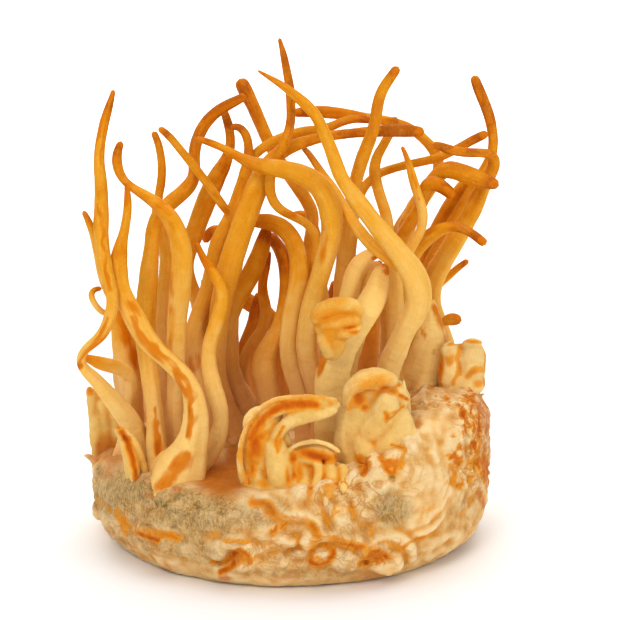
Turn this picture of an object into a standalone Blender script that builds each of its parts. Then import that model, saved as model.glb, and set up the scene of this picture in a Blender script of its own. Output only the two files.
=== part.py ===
"""Cordyceps bunch: a rounded cake of mycelium-bound grain with a thicket of
slim orange fruiting bodies growing out of its top.

Metres, +Z up. The origin is the middle of the cake's flat underside.
Every stem is drawn as a run of (across, down, width) marks on a leaning
drawing board of 0.2 mm squares, with its front-to-back position in mm given
at even steps from foot to tip. settle() then eases the stems apart from
front to back so that none touches another, and each one is skinned as a
tapering six-sided tube with a rounded tip.
"""
import bpy
import bmesh
import math
import numpy as np

# ---------------------------------------------------------------- dimensions
CAKE_RADIUS = 40.0          # mm, widest part of the cake
CAKE_FOOT_RADIUS = 33.0     # mm, flat underside that it rests on
CAKE_TOP = 18.5             # mm, height of the cake's top
MOUND_RISE = 12.5           # mm, extra height of the swollen right-hand side
MOUND_AT = (31.0, -9.0)     # mm, middle of that swelling
MOUND_SIZE = (15.0, 26.0)   # mm, its half widths
SQUARE = 0.2                # mm, one drawing-board square
BOARD_MIDDLE = (310.0, 310.0)
BOARD_AIM = (4.0, 0.0, 45.4)     # mm, the board's middle in the object
BOARD_LEAN = math.radians(11.0)
SIGHT = 344.0               # mm, the drawing's station point from the board
GAP = 0.30                  # mm, least clearance between two pieces
FOOT_GAP = 0.55             # mm, clearance between a foot and the cake
SIDES = 6                   # sides of a stem's section
RIM = 3.6                   # mm, how wide the cake's top edge is rounded

for old in list(bpy.data.objects):
    bpy.data.objects.remove(old, do_unlink=True)

SIN, COS = math.sin(BOARD_LEAN), math.cos(BOARD_LEAN)
STEMS = []


def grow(name, depth, marks, foot=True, flat=1.0):
    """Notes down one stem, lobe or shoot, from its foot to its tip."""
    STEMS.append(dict(name=name, depth=depth, marks=marks, foot=foot, flat=flat))


# ------------------------------------------------------------------ the stems
# name, front-to-back position in mm from foot to tip (+ is the back), then
# (across, down, width) marks in squares. None is where it meets the cake.
grow("stem_left_twisted", (-15,-22,-28,-27,-24,-21,-19,-17), [(147,None,20),(144,466,17),(141,447,19),(135,430,21),(127,417,20),(117,405,18),(106,392,15),(95,379,13),(86,371,11),(80.5,364,9),(80.5,357,8),(84,351,8),(91,345,9),(99,339,10),(105,331,11),(109,321,11),(112,310,12),(113,298,11),(109,282,13),(105,267,14),(103,250,14),(101,233,14.5),(101.5,217,14.5),(101.5,200,13.5),(101,182,12.5),(99,165,10.5),(99.5,150,10),(102,133,9),(105.5,118,8.5),(110,104,7),(113.5,91,4)])
grow("shoot_left_twisted", (-23,-23,-22), [(109,297,5),(104.5,286,6.5),(100.5,272,7),(98,258,7),(95,244,6),(92,230,6.5),(88,219,6.5),(84,212,4)], foot=False)
grow("stem_front_red_tip", (-25,-27,-27,-25,-23,-22), [(180,None,30),(184,468,34),(190,450,30),(195,434,25),(196,418,22),(195,402,20),(191,388,18),(183,375,17),(173,365,16),(163,356,16),(153,347,18),(144,336,19),(137,323,19),(130,309,18),(124,296,16),(120,283,16),(119,270,16),(119,257,15),(121,246,12),(123.5,235,9),(126.5,220,8.5),(128,205,7.5),(127.5,193,6),(127,184,4)])
grow("stem_front_fork", (-21,-20,-17,-15,-14), [(192,None,18),(200,465,20),(213,445,18),(221,425,15),(219,405,16),(213,385,16),(209,365,14),(209,348,13),(214,330,13),(220,312,13),(223,296,12),(218,281,11),(209,268,9),(202,256,7),(197,244,5)])
grow("stem_long_arch", (-20,-18,-14,-9,-5,-1,3), [(160,None,15),(159,470,15),(157,445,18),(155,415,17),(152,390,18),(149,365,19),(146,340,20),(146,315,20),(148,290,19),(150,268,17),(152,248,14),(154,228,14),(161,212,14),(174,200,15),(187,189,15),(195,176,13),(194,160,12),(196,142,12),(204,125,12),(216,112,11),(230,104,10),(244,97,8)])
grow("stem_left_blunt", (-5,-4,-3,0,3), [(166,None,15),(166,430,15),(165,395,15),(163,360,15),(161,330,15),(162,300,15),(166,275,15),(167,255,15),(161,232,15),(157,215,12),(158,200,9),(161,185,9),(162,168,9),(160,150,8),(157,140,8),(154,133,6)])
grow("stem_left_hook", (-13,-15,-17,-19,-18,-16), [(177,None,17),(177,430,17),(176,400,17),(177,370,17),(177,345,18),(178,315,18),(181,290,20),(183,265,20),(181,242,19),(174,223,17),(163,209,14),(149,198,11),(134,189,8),(123,180,8),(117,166,10),(117,152,9),(121,143,6)])
grow("stem_left_stump", (-6,-7,-9,-9), [(133,None,22),(133,425,22),(132,395,23),(128,368,24),(124,342,23),(120,322,16),(117,309,7)])
grow("stem_left_elbow", (-11,-13,-17,-21), [(124,None,13),(127,420,13),(131,400,13),(133,385,12),(129,373,12),(117,367,14),(103,364,13),(92,360,10),(85,357,5)])
grow("lobe_left", (-2,-3,-4), [(110,None,26),(107,450,28),(104,430,30),(101,412,28),(97,398,22),(91,387,9)])
grow("tongue_front_left", (-21,-25,-28), [(139,None,14),(137,468,15),(131,450,16),(124,437,15),(116,428,9)])
grow("stem_left_diagonal", (4,4,2,0,-3,-8,-11), [(238,None,12),(236,420,12),(234,380,12),(233,340,12),(234,300,11),(236,265,10),(238,240,9),(234,221,8),(224,208,9),(213,192,9),(202,177,9),(190,162,9),(178,147,8),(167,134,8),(160,129,6)])
grow("stem_club", (12,10,8,7,8,8), [(307,None,13),(306,420,13),(305,380,13),(305,340,13),(305,300,13),(307,262,13),(311,238,13),(313,215,13),(304,196,13),(291,178,13),(279,160,13),(269,142,13),(261,124,13),(254,108,13),(247,94,14),(241,82,13)])
grow("stem_inner_left", (9,8,6,3,3,5,6), [(205,None,13),(204,430,13),(203,390,13),(201,350,13),(200,320,14),(197,300,14),(190,284,14),(186,268,14),(188,252,15),(193,238,17),(199,220,18),(206,202,19),(213,185,18),(221,170,16),(228,157,11),(231,143,9),(229,126,9),(224,111,7)])
grow("stem_small_crook", (-9,-11,-11,-7,-3,1,3), [(208,None,10),(207,425,11),(203,400,12),(196,376,16),(192,352,20),(196,328,21),(205,303,20),(211,280,17),(213,262,14),(218,242,15),(229,222,15),(237,203,14),(242,186,13),(247,168,11),(249,150,9),(246,134,9),(239,126,8),(232,127,6)])
grow("stem_great", (4,1,-4,-8,-8,-6,-5,-5), [(234,None,23),(229,425,25),(223,400,20),(218,375,17),(217,350,18),(218,325,20),(222,298,22),(229,268,24),(238,240,24),(247,214,23),(255,192,22),(262,174,19),(272,159,15),(287,149,13),(305,142,12),(325,137,11),(348,134,10),(372,132,11),(395,131,12),(412,131,12),(422,132,8)])
grow("stem_beside_great", (7,4,0,-1,1), [(254,None,22),(246,408,24),(236,388,21),(229,366,20),(227,342,18),(230,318,17),(238,298,18),(248,280,18),(256,262,18),(262,246,16),(266,230,11)])
grow("stem_crozier", (-6,-9,-10,-7,-2,1), [(306,None,18),(300,392,20),(293,372,20),(288,350,18),(289,328,17),(293,305,17),(298,283,18),(299,262,18),(295,243,18),(285,229,18),(272,222,17),(259,221,15),(250,222,8)])
grow("stem_behind_crozier", (0,-2,0,4,5), [(274,None,22),(268,392,24),(264,372,24),(266,353,21),(275,336,16),(281,316,12),(285,292,12),(285,268,13),(280,248,14),(270,236,11)])
grow("stem_wavy", (12,10,9,8,7), [(250,None,12),(246,392,12),(243,372,13),(245,356,13),(254,342,13),(263,328,12),(266,312,12),(263,297,11),(262,283,10),(266,268,9),(268,252,7)])
grow("stem_wavy_behind", (18,16,14), [(241,None,14),(241,392,14),(240,370,14),(243,352,14),(247,338,14),(253,325,13),(256,308,12),(259,294,7)])
grow("stem_inner_slim", (14,12,9), [(232,None,16),(231,400,18),(228,370,20),(228,345,20),(230,320,16),(234,300,12),(240,284,7)])
grow("stem_ribbed", (14,13,11,9,6,3,1,0), [(232,None,12),(232,420,12),(231,380,12),(231,340,12),(234,300,12),(238,262,12),(243,230,12),(247,200,12),(247,178,11),(252,158,10),(268,145,10),(285,137,11),(305,132,11),(323,130,10),(338,124,9),(352,119,9),(366,120,8),(374,122,5)])
grow("stem_top_spire", (5,3,1,-3,-8,-9,-8,-7), [(312,None,9),(311,400,9),(311,350,9),(311,300,9),(313,265,9),(317,243,8),(313,230,8),(303,221,8),(290,215,9),(278,208,10),(271,196,10),(270,182,10),(273,167,10),(281,152,10),(287,138,10),(291,122,9),(291,105,9),(290,88,9),(287,72,8),(284,56,7),(281,44,5),(279.5,39,3)])
grow("stem_great_hook", (-5,-9,-13,-15,-15,-14,-13), [(322,None,16),(320,420,16),(317,395,17),(312,375,20),(308,355,21),(307,335,20),(311,310,19),(318,285,19),(325,260,19),(331,238,20),(332,218,21),(328,200,21),(318,184,20),(301,174,19),(281,169,17),(262,166,14),(246,161,11),(232,153,8),(218,146,7),(205,141,7),(197,139,5)])
grow("stem_long_diagonal", (-13,-15,-18,-20,-20,-20,-19,-17), [(385,None,22),(388,372,22),(394,357,22),(401,340,21),(408,324,22),(415,312,24),(418,300,25),(417,287,25),(411,272,24),(402,259,21),(390,243,17),(378,229,14),(363,209,13),(353,196,13),(345,185,13),(339,174,13),(335,162,13),(331,150,12),(326,138,12),(321,126,11),(316,116,11),(308,107,11),(298,98,10),(288,90,8),(278,83,7),(268,77,5),(258,71,2)])
grow("stem_diagonal_twin", (-19,-19,-16,-8,1), [(397,266,10),(386,257,12),(371,245,12),(360,232,11),(350,218,11),(340,202,11),(331,187,10),(323,175,8),(316,165,7),(309,154,7),(304,149,5)], foot=False)
grow("stem_tall_kinked", (12,10,6,0,-6,-10,-10), [(342,None,14),(341,400,14),(340,360,14),(340,325,14),(340,298,13),(343,272,15),(348,248,18),(350,224,18),(352,200,13),(356,180,12),(360,165,12),(366,149,12),(372,134,11),(376,119,11),(378,104,11),(382,91,11),(390,79,10),(397,69,9)])
grow("stem_right_knob_tip", (2,0,-3,-3,0,2), [(390,None,14),(390,385,14),(391,355,14),(393,328,15),(395,302,16),(394,278,14),(390,255,12),(388,236,11),(387,219,11),(382,203,11),(377,187,11),(374,172,11),(376,158,10),(383,146,9),(390,133,9),(395,119,9)])
grow("stem_right_arch", (20,18,15,12,10,9,7,5), [(396,None,14),(396,380,14),(396,340,14),(394,300,14),(393,265,14),(396,240,14),(404,222,15),(416,205,14),(427,191,13),(436,178,11),(439,165,11),(435,152,11),(425,140,10),(411,129,10),(396,123,10),(380,120,10),(362,117,10),(342,114,12),(322,112,12),(305,112,11),(295,113,8)])
grow("stem_right_blunt", (14,11,7,2,-3,-8,-11), [(404,None,15),(404,380,15),(404,340,15),(402,300,15),(400,265,16),(403,240,17),(410,218,18),(420,200,17),(430,186,16),(438,175,15),(446,169,17),(459,172,19),(474,178,18),(487,182,14),(496,185,10)])
grow("stem_right_short", (9,7,4,0,-2,-4), [(392,None,11),(393,370,11),(393,330,11),(392,290,11),(394,262,12),(400,240,12),(410,222,12),(420,206,13),(424,192,14),(428,182,14),(438,184,14),(446,190,13),(452,195,10)])
grow("stem_right_level", (20,17,14,11,8,6,5), [(352,None,12),(351,400,12),(350,350,12),(350,300,12),(350,255,12),(352,225,11),(357,202,10),(366,184,9),(380,173,9),(398,167,9),(420,162,9),(438,158,9),(453,151,9),(466,144,9),(477,138,10),(486,134,8)])
grow("stem_right_curl", (11,8,5,3,1,-2,-6,-8), [(446,None,15),(447,345,16),(438,322,17),(431,300,19),(434,279,20),(444,260,20),(456,240,19),(467,221,18),(476,204,17),(483,188,14),(490,175,12),(495,164,12),(494,156,10),(484,153,9),(468,153,9),(452,151,9),(442,147,9),(434,145,7)])
grow("stem_far_right", (18,15,11,8,6,5,4), [(438,None,13),(436,340,13),(429,315,13),(425,290,13),(428,268,13),(438,247,13),(449,228,12),(460,210,12),(470,193,12),(480,177,12),(488,163,11),(493,148,10),(492,132,10),(489,117,11),(484,103,11),(478,89,11),(474,78,9)])
grow("stem_right_straight", (24,20,16,12,9,7), [(418,None,13),(418,360,13),(418,320,13),(420,290,14),(424,262,14),(431,240,14),(441,220,14),(451,203,14),(461,188,13),(470,178,11),(476,172,7)])
grow("stem_right_finger", (4,2,0,-4,-8,-12), [(410,None,14),(409,380,14),(408,340,14),(407,300,14),(408,272,15),(414,252,16),(425,239,15),(438,230,13),(451,226,10),(462,228,9),(473,234,9),(484,243,9)])
grow("shoot_right_spike", (-11,-11,-10,-8), [(409,252,9),(415,241,10),(421,230,10),(423,219,10),(422,208,10),(418,196,9),(414,184,9),(411,172,8),(408,162,6),(405,153,5),(402,147,3)], foot=False)
grow("stem_right_slim", (27,24,20,17), [(432,None,9),(430,360,9),(428,330,9),(428,305,9),(434,290,9),(445,279,9),(456,269,8),(467,261,6)])
grow("stump_right", (-2,-3,-3,-2), [(420,None,32),(425,372,33),(428,352,34),(431,333,30),(430,317,21),(429,302,13)])
grow("knob_right", (-4,-4,-4), [(463,None,36),(463,376,38),(463,362,42),(464,351,40),(466,344,28)], flat=0.42)
grow("stem_pale_broad", (-16,-18,-20,-20,-18), [(331,None,28),(331,395,30),(332,380,30),(335,365,29),(341,350,27),(350,335,25),(360,320,25),(369,305,25),(376,291,23),(379,278,19),(383,267,12)])
grow("stem_pale_loop", (-10,-12,-14,-14,-13), [(326,None,14),(331,380,15),(341,340,17),(348,303,18),(351,286,18),(357,268,18),(367,257,15),(378,252,10)])
grow("stem_pale_inner", (-8,-10,-12,-13,-12), [(347,None,12),(350,370,12),(358,340,12),(362,318,13),(362,300,13),(363,284,12),(369,271,11),(378,264,8)])
grow("curled_head", (-18,-20,-22,-23,-23,-22), [(334,354,12),(324,338,13),(319,324,13),(326,312,14),(340,307,14),(353,310,13),(361,319,9),(356,330,7),(345,334,6)], foot=False)
grow("ear_lobe", (-31,-31,-30,-29), [(285,None,60),(284,478,72),(283,455,80),(288,432,80),(300,413,62),(312,402,34)], flat=0.33)
grow("folded_lobe", (-27,-27,-26,-25), [(377,None,46),(376,428,54),(377,412,58),(378,396,54),(377,382,44),(375,374,24)], flat=0.45)
grow("stem_back_dark", (26,24,22,20,18), [(286,None,16),(284,400,16),(281,360,16),(276,330,17),(266,312,18),(250,303,18),(236,292,16),(226,275,12),(220,255,8)])
grow("stem_back_centre", (24,22,20,18,16), [(330,None,14),(328,400,14),(325,350,14),(322,300,14),(319,260,13),(315,230,12),(308,216,11),(299,213,8),(290,216,5)])
grow("stem_back_curl", (21,19,17,15,14), [(222,None,12),(224,400,12),(228,350,12),(231,300,12),(230,262,12),(226,240,12),(217,229,12),(209,233,10),(205,241,7)])
grow("stem_back_right_a", (5,4,3,2), [(384,None,22),(386,400,22),(388,370,20),(390,340,19),(391,315,22),(393,295,24),(396,276,21),(399,262,13)])
grow("stem_back_right_b", (28,26,24), [(366,None,24),(367,390,26),(369,350,26),(373,315,22),(377,285,14),(379,262,7)])
grow("stem_back_a", (33,31,28), [(250,None,24),(248,400,26),(246,365,24),(250,340,18),(256,315,12),(258,298,6)])
grow("stem_back_b", (31,30,27), [(200,None,24),(198,400,26),(196,365,25),(202,330,20),(205,302,13),(204,280,6)])
grow("stem_back_c", (25,24,21), [(160,None,24),(156,400,26),(152,365,25),(148,330,20),(148,302,13),(150,280,6)])
grow("stem_back_d", (15,15,13), [(135,None,20),(130,410,22),(125,380,22),(122,350,17),(124,325,11),(127,308,6)])
grow("stem_back_e", (34,33,30), [(318,None,22),(321,400,25),(326,365,24),(326,330,19),(330,302,12),(334,282,6)])
grow("shoot_right_nub", (4,3,2), [(437,328,6),(442,323,7),(448,319.5,11),(455,319,12),(459,320,9)], foot=False)
grow("shoot_left_loop", (-25,-26,-25,-24), [(107,314,5),(100,311,6),(95,304,6),(91,297,6),(90.5,291,6),(95,288.5,5),(101,288.5,4)], foot=False)


# ------------------------------------------------------------------ the shapes
def cake_top(x, y):
    """Height of the cake's top at a place, in mm."""
    m = ((x - MOUND_AT[0]) / MOUND_SIZE[0]) ** 4 + ((y - MOUND_AT[1]) / MOUND_SIZE[1]) ** 4
    top = CAKE_TOP + MOUND_RISE / (1.0 + m)
    edge = np.clip((np.hypot(x, y) - (CAKE_RADIUS - RIM)) / RIM, 0.0, 1.0)
    return top - 4.0 * edge ** 2


def place(across, down, y):
    """The point seen at a board mark when it lies y mm behind the middle."""
    u = (across - BOARD_MIDDLE[0]) * SQUARE
    v = (BOARD_MIDDLE[1] - down) * SQUARE
    h = (v + v * y * COS / SIGHT - y * SIN) / (COS + v * SIN / SIGHT)
    d = y * COS - h * SIN
    return np.stack([BOARD_AIM[0] + u * (SIGHT + d) / SIGHT, y + 0.0 * u, BOARD_AIM[2] + h], -1)


def foot_mark(across, y):
    """How far down the board a foot at this place meets the cake."""
    z = CAKE_TOP
    for _ in range(6):
        d = y * COS - (z - BOARD_AIM[2]) * SIN
        x = BOARD_AIM[0] + (across - BOARD_MIDDLE[0]) * SQUARE * (SIGHT + d) / SIGHT
        z = float(cake_top(x, y)) + FOOT_GAP
    v = (y * SIN + (z - BOARD_AIM[2]) * COS) * SIGHT / (SIGHT + d)
    return BOARD_MIDDLE[1] - v / SQUARE


def smooth(points, steps):
    """A Catmull-Rom curve through the points, with its parameter."""
    p = np.vstack([2 * points[0] - points[1], points, 2 * points[-1] - points[-2]])
    out, par = [], []
    for i in range(1, len(p) - 2):
        for t in np.arange(steps) / steps:
            a, b, c, e = p[i - 1], p[i], p[i + 1], p[i + 2]
            out.append(0.5 * (2 * b + (c - a) * t + (2 * a - 5 * b + 4 * c - e) * t * t
                              + (3 * b - a - 3 * c + e) * t ** 3))
            par.append(i - 1 + t)
    out.append(points[-1])
    par.append(len(points) - 1.0)
    return np.array(out), np.array(par)


def trace(stem):
    """Evenly spaced samples of a stem: board marks, widths and depth."""
    marks = [list(m) for m in stem["marks"]]
    if stem["foot"]:
        marks[0][1] = foot_mark(marks[0][0], stem["depth"][0])
        while len(marks) > 3 and marks[1][1] > marks[0][1] - 10.0:
            del marks[1]
    curve, _ = smooth(np.array(marks, float), 12)
    run = np.concatenate([[0], np.cumsum(np.hypot(*np.diff(curve[:, :2], axis=0).T))]) * SQUARE
    count = max(8, int(round(run[-1] / 1.25)))
    at = np.linspace(0, run[-1], count + 1)
    even = np.stack([np.interp(at, run, curve[:, k]) for k in range(3)], -1)
    depth = np.array(stem["depth"], float)
    dense, par = smooth(depth[:, None], 10)
    y = np.interp(at / run[-1] * (len(depth) - 1), par, dense[:, 0])
    return dict(mark=even[:, :2], r=np.maximum(even[:, 2], 2.0) * SQUARE / 2, y=y,
                foot=stem["foot"], flat=stem["flat"])


def blur(a, width):
    """Smooths a row of numbers along a stem."""
    k = np.exp(-0.5 * (np.arange(-3 * width, 3 * width + 1) / width) ** 2)
    k /= k.sum()
    pad = np.pad(a, 3 * width, mode="edge")
    return np.convolve(pad, k, "valid")


def settle(runs, rounds=260):
    """Eases the stems apart from front to back until none touches."""
    owner = np.concatenate([np.full(len(r["y"]), i) for i, r in enumerate(runs)])
    index = np.concatenate([np.arange(len(r["y"])) for r in runs])
    mark = np.vstack([r["mark"] for r in runs])
    rad = np.concatenate([r["r"] for r in runs])
    thick = rad * np.concatenate([np.full(len(r["y"]), r["flat"]) for r in runs])
    y = np.concatenate([r["y"] for r in runs])
    start = np.concatenate([[0], np.cumsum([len(r["y"]) for r in runs])])
    lead = np.array([0.0, COS, -SIN])
    pairs = []
    for i in range(len(mark)):
        near = np.nonzero((owner > owner[i]) &
                          (np.hypot(*(mark - mark[i]).T) * SQUARE < (rad + rad[i] + GAP) * 1.08 + 0.3))[0]
        pairs.append(np.stack([np.full(len(near), i), near], -1))
    pairs = np.vstack(pairs)
    a, b = pairs.T
    p = place(mark[:, 0], mark[:, 1], y)
    s0 = (p[b] - p[a]) @ lead
    # which one is in front is settled once for each crossing
    sign = np.ones(len(a))
    key = owner[a] * 1000 + owner[b]
    for k in np.unique(key):
        rows = np.nonzero(key == k)[0]
        rows = rows[np.argsort(index[a[rows]], kind="stable")]
        cuts = np.nonzero(np.diff(index[a[rows]]) > 4)[0] + 1
        for part in np.split(rows, cuts):
            sign[part] = 1.0 if s0[part].sum() >= 0 else -1.0
    shift = np.zeros(len(y))
    for turn in range(rounds):
        p = place(mark[:, 0], mark[:, 1], y + shift)
        diff = p[b] - p[a]
        s = diff @ lead
        side2 = np.maximum((diff ** 2).sum(1) - s * s, 0.0)
        need_r = rad[a] + rad[b] + GAP + 0.12
        f = np.sqrt(np.maximum(1.0 - side2 / need_r ** 2, 0.0))
        need = f * (thick[a] + thick[b] + GAP + 0.12)
        lack = np.where(f > 0, need - sign * s, 0.0)
        lack = np.maximum(lack, 0.0)
        if lack.max() < 0.02:
            break
        up = np.zeros(len(y))
        dn = np.zeros(len(y))
        np.maximum.at(up, b, np.where(sign > 0, lack, 0))
        np.maximum.at(dn, a, np.where(sign > 0, lack, 0))
        np.maximum.at(up, a, np.where(sign < 0, lack, 0))
        np.maximum.at(dn, b, np.where(sign < 0, lack, 0))
        move = (up - dn) * 0.5
        for i in range(len(runs)):
            m = move[start[i]:start[i + 1]]
            soft = blur(m, 3) if turn % 3 else blur(m, 1)
            shift[start[i]:start[i + 1]] += np.where(np.abs(soft) < np.abs(m) * 0.6, 0.6 * m, soft)
            if turn % 8 == 7 and turn < rounds - 60:
                shift[start[i]:start[i + 1]] = blur(shift[start[i]:start[i + 1]], 2)
        # the whole bunch stays over the cake
        y_now = y + shift
        shift += np.clip(y_now, -33.0, 36.0) - y_now
    y = y + shift
    for i, r in enumerate(runs):
        r["y"] = y[start[i]:start[i + 1]]
    return pairs, owner, start


def ease_radii(runs, rounds=12):
    """Thins two stems a little wherever they would still touch."""
    for _ in range(rounds):
        worst = 0.0
        pts = [r["p"] for r in runs]
        for i in range(len(runs)):
            for j in range(i + 1, len(runs)):
                lo = np.maximum(pts[i].min(0), pts[j].min(0)) - 6
                hi = np.minimum(pts[i].max(0), pts[j].max(0)) + 6
                if (lo > hi).any():
                    continue
                d = pts[i][:, None] - pts[j][None]
                ri, rj = runs[i]["r"], runs[j]["r"]
                fi = fj = 1.0
                if runs[i]["flat"] < 1 or runs[j]["flat"] < 1:
                    n = np.linalg.norm(d, axis=2) + 1e-9
                    c = np.abs(d[..., 1]) / n
                    fi = np.sqrt((1 - c * c) + (c * runs[i]["flat"]) ** 2) if runs[i]["flat"] < 1 else 1.0
                    fj = np.sqrt((1 - c * c) + (c * runs[j]["flat"]) ** 2) if runs[j]["flat"] < 1 else 1.0
                    over = ri[:, None] * fi + rj[None] * fj + GAP - n
                else:
                    over = ri[:, None] + rj[None] + GAP - np.linalg.norm(d, axis=2)
                if over.max() > 0:
                    worst = max(worst, over.max())
                    runs[i]["r"] = np.maximum(ri - 0.55 * np.maximum(over.max(1), 0), 0.35 * runs[i]["r0"])
                    runs[j]["r"] = np.maximum(rj - 0.55 * np.maximum(over.max(0), 0), 0.35 * runs[j]["r0"])
        for r in runs:
            r["r"] = np.minimum(r["r"], blur(r["r"], 1) + 0.02)
        if worst <= 0.0:
            break
    return worst


def rings(run):
    """Picks where a stem's rings go, closer together where it bends."""
    p = run["p"]
    t = np.diff(p, axis=0)
    ds = np.linalg.norm(t, axis=1)
    t /= ds[:, None] + 1e-9
    bend = np.concatenate([[0], np.arccos(np.clip((t[1:] * t[:-1]).sum(1), -1, 1)), [0]])
    load = np.concatenate([[0], np.cumsum(ds / 9.5 + 1.05 * 0.5 * (bend[1:] + bend[:-1]))])
    count = int(np.clip(round(load[-1]), 4, 17))
    at = np.interp(np.linspace(0, load[-1], count + 1), load, np.arange(len(p)))
    grid = np.arange(len(p))
    return np.stack([np.interp(at, grid, p[:, k]) for k in range(3)], -1), np.interp(at, grid, run["r"])


def frames(c):
    """Two crosswise directions at each ring, carried along without twist."""
    t = np.gradient(c, axis=0)
    t /= np.linalg.norm(t, axis=1)[:, None]
    side = np.cross(t[0], (0.0, 1.0, 0.0))
    side /= np.linalg.norm(side)
    out = []
    for k in t:
        side = side - k * side.dot(k)
        side /= np.linalg.norm(side)
        out.append((side, np.cross(k, side)))
    return t, out


def tube(name, c, r, flat, foot, colour):
    """Skins a stem: rings of six corners, a closed foot and a rounded tip."""
    t, cross = frames(c)
    bm = bmesh.new()
    loops = []
    for k in range(len(c)):
        s, n = cross[k]
        rr = r[k] * (0.72 if k == len(c) - 1 else 1.0)
        loop = []
        for q in range(SIDES):
            a = 2 * math.pi * (q + 0.5) / SIDES
            v = c[k] + rr * (math.cos(a) * s + math.sin(a) * n)
            if flat < 1.0:
                v[1] = c[k][1] + (v[1] - c[k][1]) * flat
            floor = float(cake_top(v[0], v[1])) + FOOT_GAP
            if foot and v[2] < floor:
                v[2] = floor
            loop.append(bm.verts.new(v * 0.001))
        loops.append(loop)
    for lo, hi in zip(loops[:-1], loops[1:]):
        for q in range(SIDES):
            bm.faces.new((lo[q], lo[(q + 1) % SIDES], hi[(q + 1) % SIDES], hi[q]))
    bm.faces.new(loops[0][::-1])
    tip = bm.verts.new((c[-1] + t[-1] * r[-1] * 0.55 * flat) * 0.001)
    for q in range(SIDES):
        bm.faces.new((loops[-1][q], loops[-1][(q + 1) % SIDES], tip))
    bmesh.ops.triangulate(bm, faces=bm.faces[:])
    bmesh.ops.recalc_face_normals(bm, faces=bm.faces[:])
    if bm.calc_volume(signed=True) < 0:
        bmesh.ops.reverse_faces(bm, faces=bm.faces[:])
    return finish(name, bm, colour)


def finish(name, bm, colour):
    mesh = bpy.data.meshes.new(name)
    bm.to_mesh(mesh)
    bm.free()
    mesh.shade_smooth()
    mesh.set_sharp_from_angle(angle=math.radians(55))
    mat = bpy.data.materials.new(name + "_material")
    mat.use_nodes = True
    shader = mat.node_tree.nodes["Principled BSDF"]
    shader.inputs["Base Color"].default_value = (*colour, 1.0)
    shader.inputs["Roughness"].default_value = 0.62
    shader.inputs["Metallic"].default_value = 0.0
    mesh.materials.append(mat)
    obj = bpy.data.objects.new(name, mesh)
    bpy.context.scene.collection.objects.link(obj)
    return obj


def cake():
    """The substrate cake: rounded lower edge, upright wall, domed top."""
    sectors = 44
    wall = [(CAKE_FOOT_RADIUS, 0.0), (36.8, 2.2), (39.2, 6.2), (CAKE_RADIUS, 11.5)]
    bm = bmesh.new()
    loops = []

    def ring(radius, height):
        loop = []
        for q in range(sectors):
            a = 2 * math.pi * q / sectors
            x, y = radius * math.cos(a), radius * math.sin(a)
            z = height if height is not None else float(cake_top(x, y))
            loop.append(bm.verts.new((x * 0.001, y * 0.001, z * 0.001)))
        loops.append(loop)

    for radius, height in wall:
        ring(radius, height)
    for radius in (CAKE_RADIUS, 39.0, 37.6, 35.6, 30.0, 24.0, 17.5, 11.0, 5.0):
        ring(radius, None)
    for lo, hi in zip(loops[:-1], loops[1:]):
        for q in range(sectors):
            bm.faces.new((lo[q], lo[(q + 1) % sectors], hi[(q + 1) % sectors], hi[q]))
    bm.faces.new(loops[0][::-1])
    top = bm.verts.new((0, 0, float(cake_top(0.0, 0.0)) * 0.001))
    for q in range(sectors):
        bm.faces.new((loops[-1][q], loops[-1][(q + 1) % sectors], top))
    bmesh.ops.triangulate(bm, faces=[f for f in bm.faces if len(f.verts) == 4])
    return finish("mycelium_cake", bm, (0.72, 0.50, 0.25))


# ------------------------------------------------------------------- the build
runs = [trace(s) for s in STEMS]
settle(runs)
for r in runs:
    r["p"] = place(r["mark"][:, 0], r["mark"][:, 1], r["y"])
    r["r0"] = r["r"].copy()
ease_radii(runs)
cake()
for s, r in zip(STEMS, runs):
    c, rad = rings(r)
    if s["foot"]:
        c[0][2] = max(c[0][2], float(cake_top(c[0][0], c[0][1])) + FOOT_GAP)
    warm = 0.5 + 0.5 * math.sin(7.0 * c[-1][0])
    tube(s["name"], c, rad, s["flat"], s["foot"], (0.68 + 0.08 * warm, 0.33 + 0.06 * warm, 0.05))
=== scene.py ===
"""Looks of the cordyceps bunch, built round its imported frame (metres, +Z up)."""
import bpy
import bmesh
import math
import numpy as np
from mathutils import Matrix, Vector, noise


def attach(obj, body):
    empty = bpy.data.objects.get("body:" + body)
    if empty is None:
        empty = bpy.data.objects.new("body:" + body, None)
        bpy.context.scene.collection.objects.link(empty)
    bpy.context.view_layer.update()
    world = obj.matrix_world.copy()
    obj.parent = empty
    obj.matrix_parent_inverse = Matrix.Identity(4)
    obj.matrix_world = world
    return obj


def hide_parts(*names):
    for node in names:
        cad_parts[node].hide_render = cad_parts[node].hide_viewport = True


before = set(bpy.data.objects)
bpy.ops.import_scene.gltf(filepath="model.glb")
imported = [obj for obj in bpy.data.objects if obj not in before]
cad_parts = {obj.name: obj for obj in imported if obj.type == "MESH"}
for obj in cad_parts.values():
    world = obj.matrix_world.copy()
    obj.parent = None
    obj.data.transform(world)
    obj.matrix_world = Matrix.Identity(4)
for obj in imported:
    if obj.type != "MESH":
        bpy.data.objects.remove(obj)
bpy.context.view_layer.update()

# ---------------------------------------------------------------- dimensions
CAKE_RADIUS = 40.0          # mm, widest part of the cake
CAKE_FOOT_RADIUS = 33.0     # mm, flat underside that it rests on
CAKE_TOP = 18.5             # mm, height of the cake's top
MOUND_RISE = 12.5           # mm, extra height of the swollen right-hand side
MOUND_AT = (31.0, -9.0)     # mm, middle of that swelling
MOUND_SIZE = (15.0, 26.0)   # mm, its half widths
SQUARE = 0.2                # mm, one drawing-board square
BOARD_MIDDLE = (310.0, 310.0)
BOARD_AIM = (4.0, 0.0, 45.4)     # mm, the board's middle in the object
BOARD_LEAN = math.radians(11.0)
SIGHT = 344.0               # mm, the drawing's station point from the board
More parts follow.
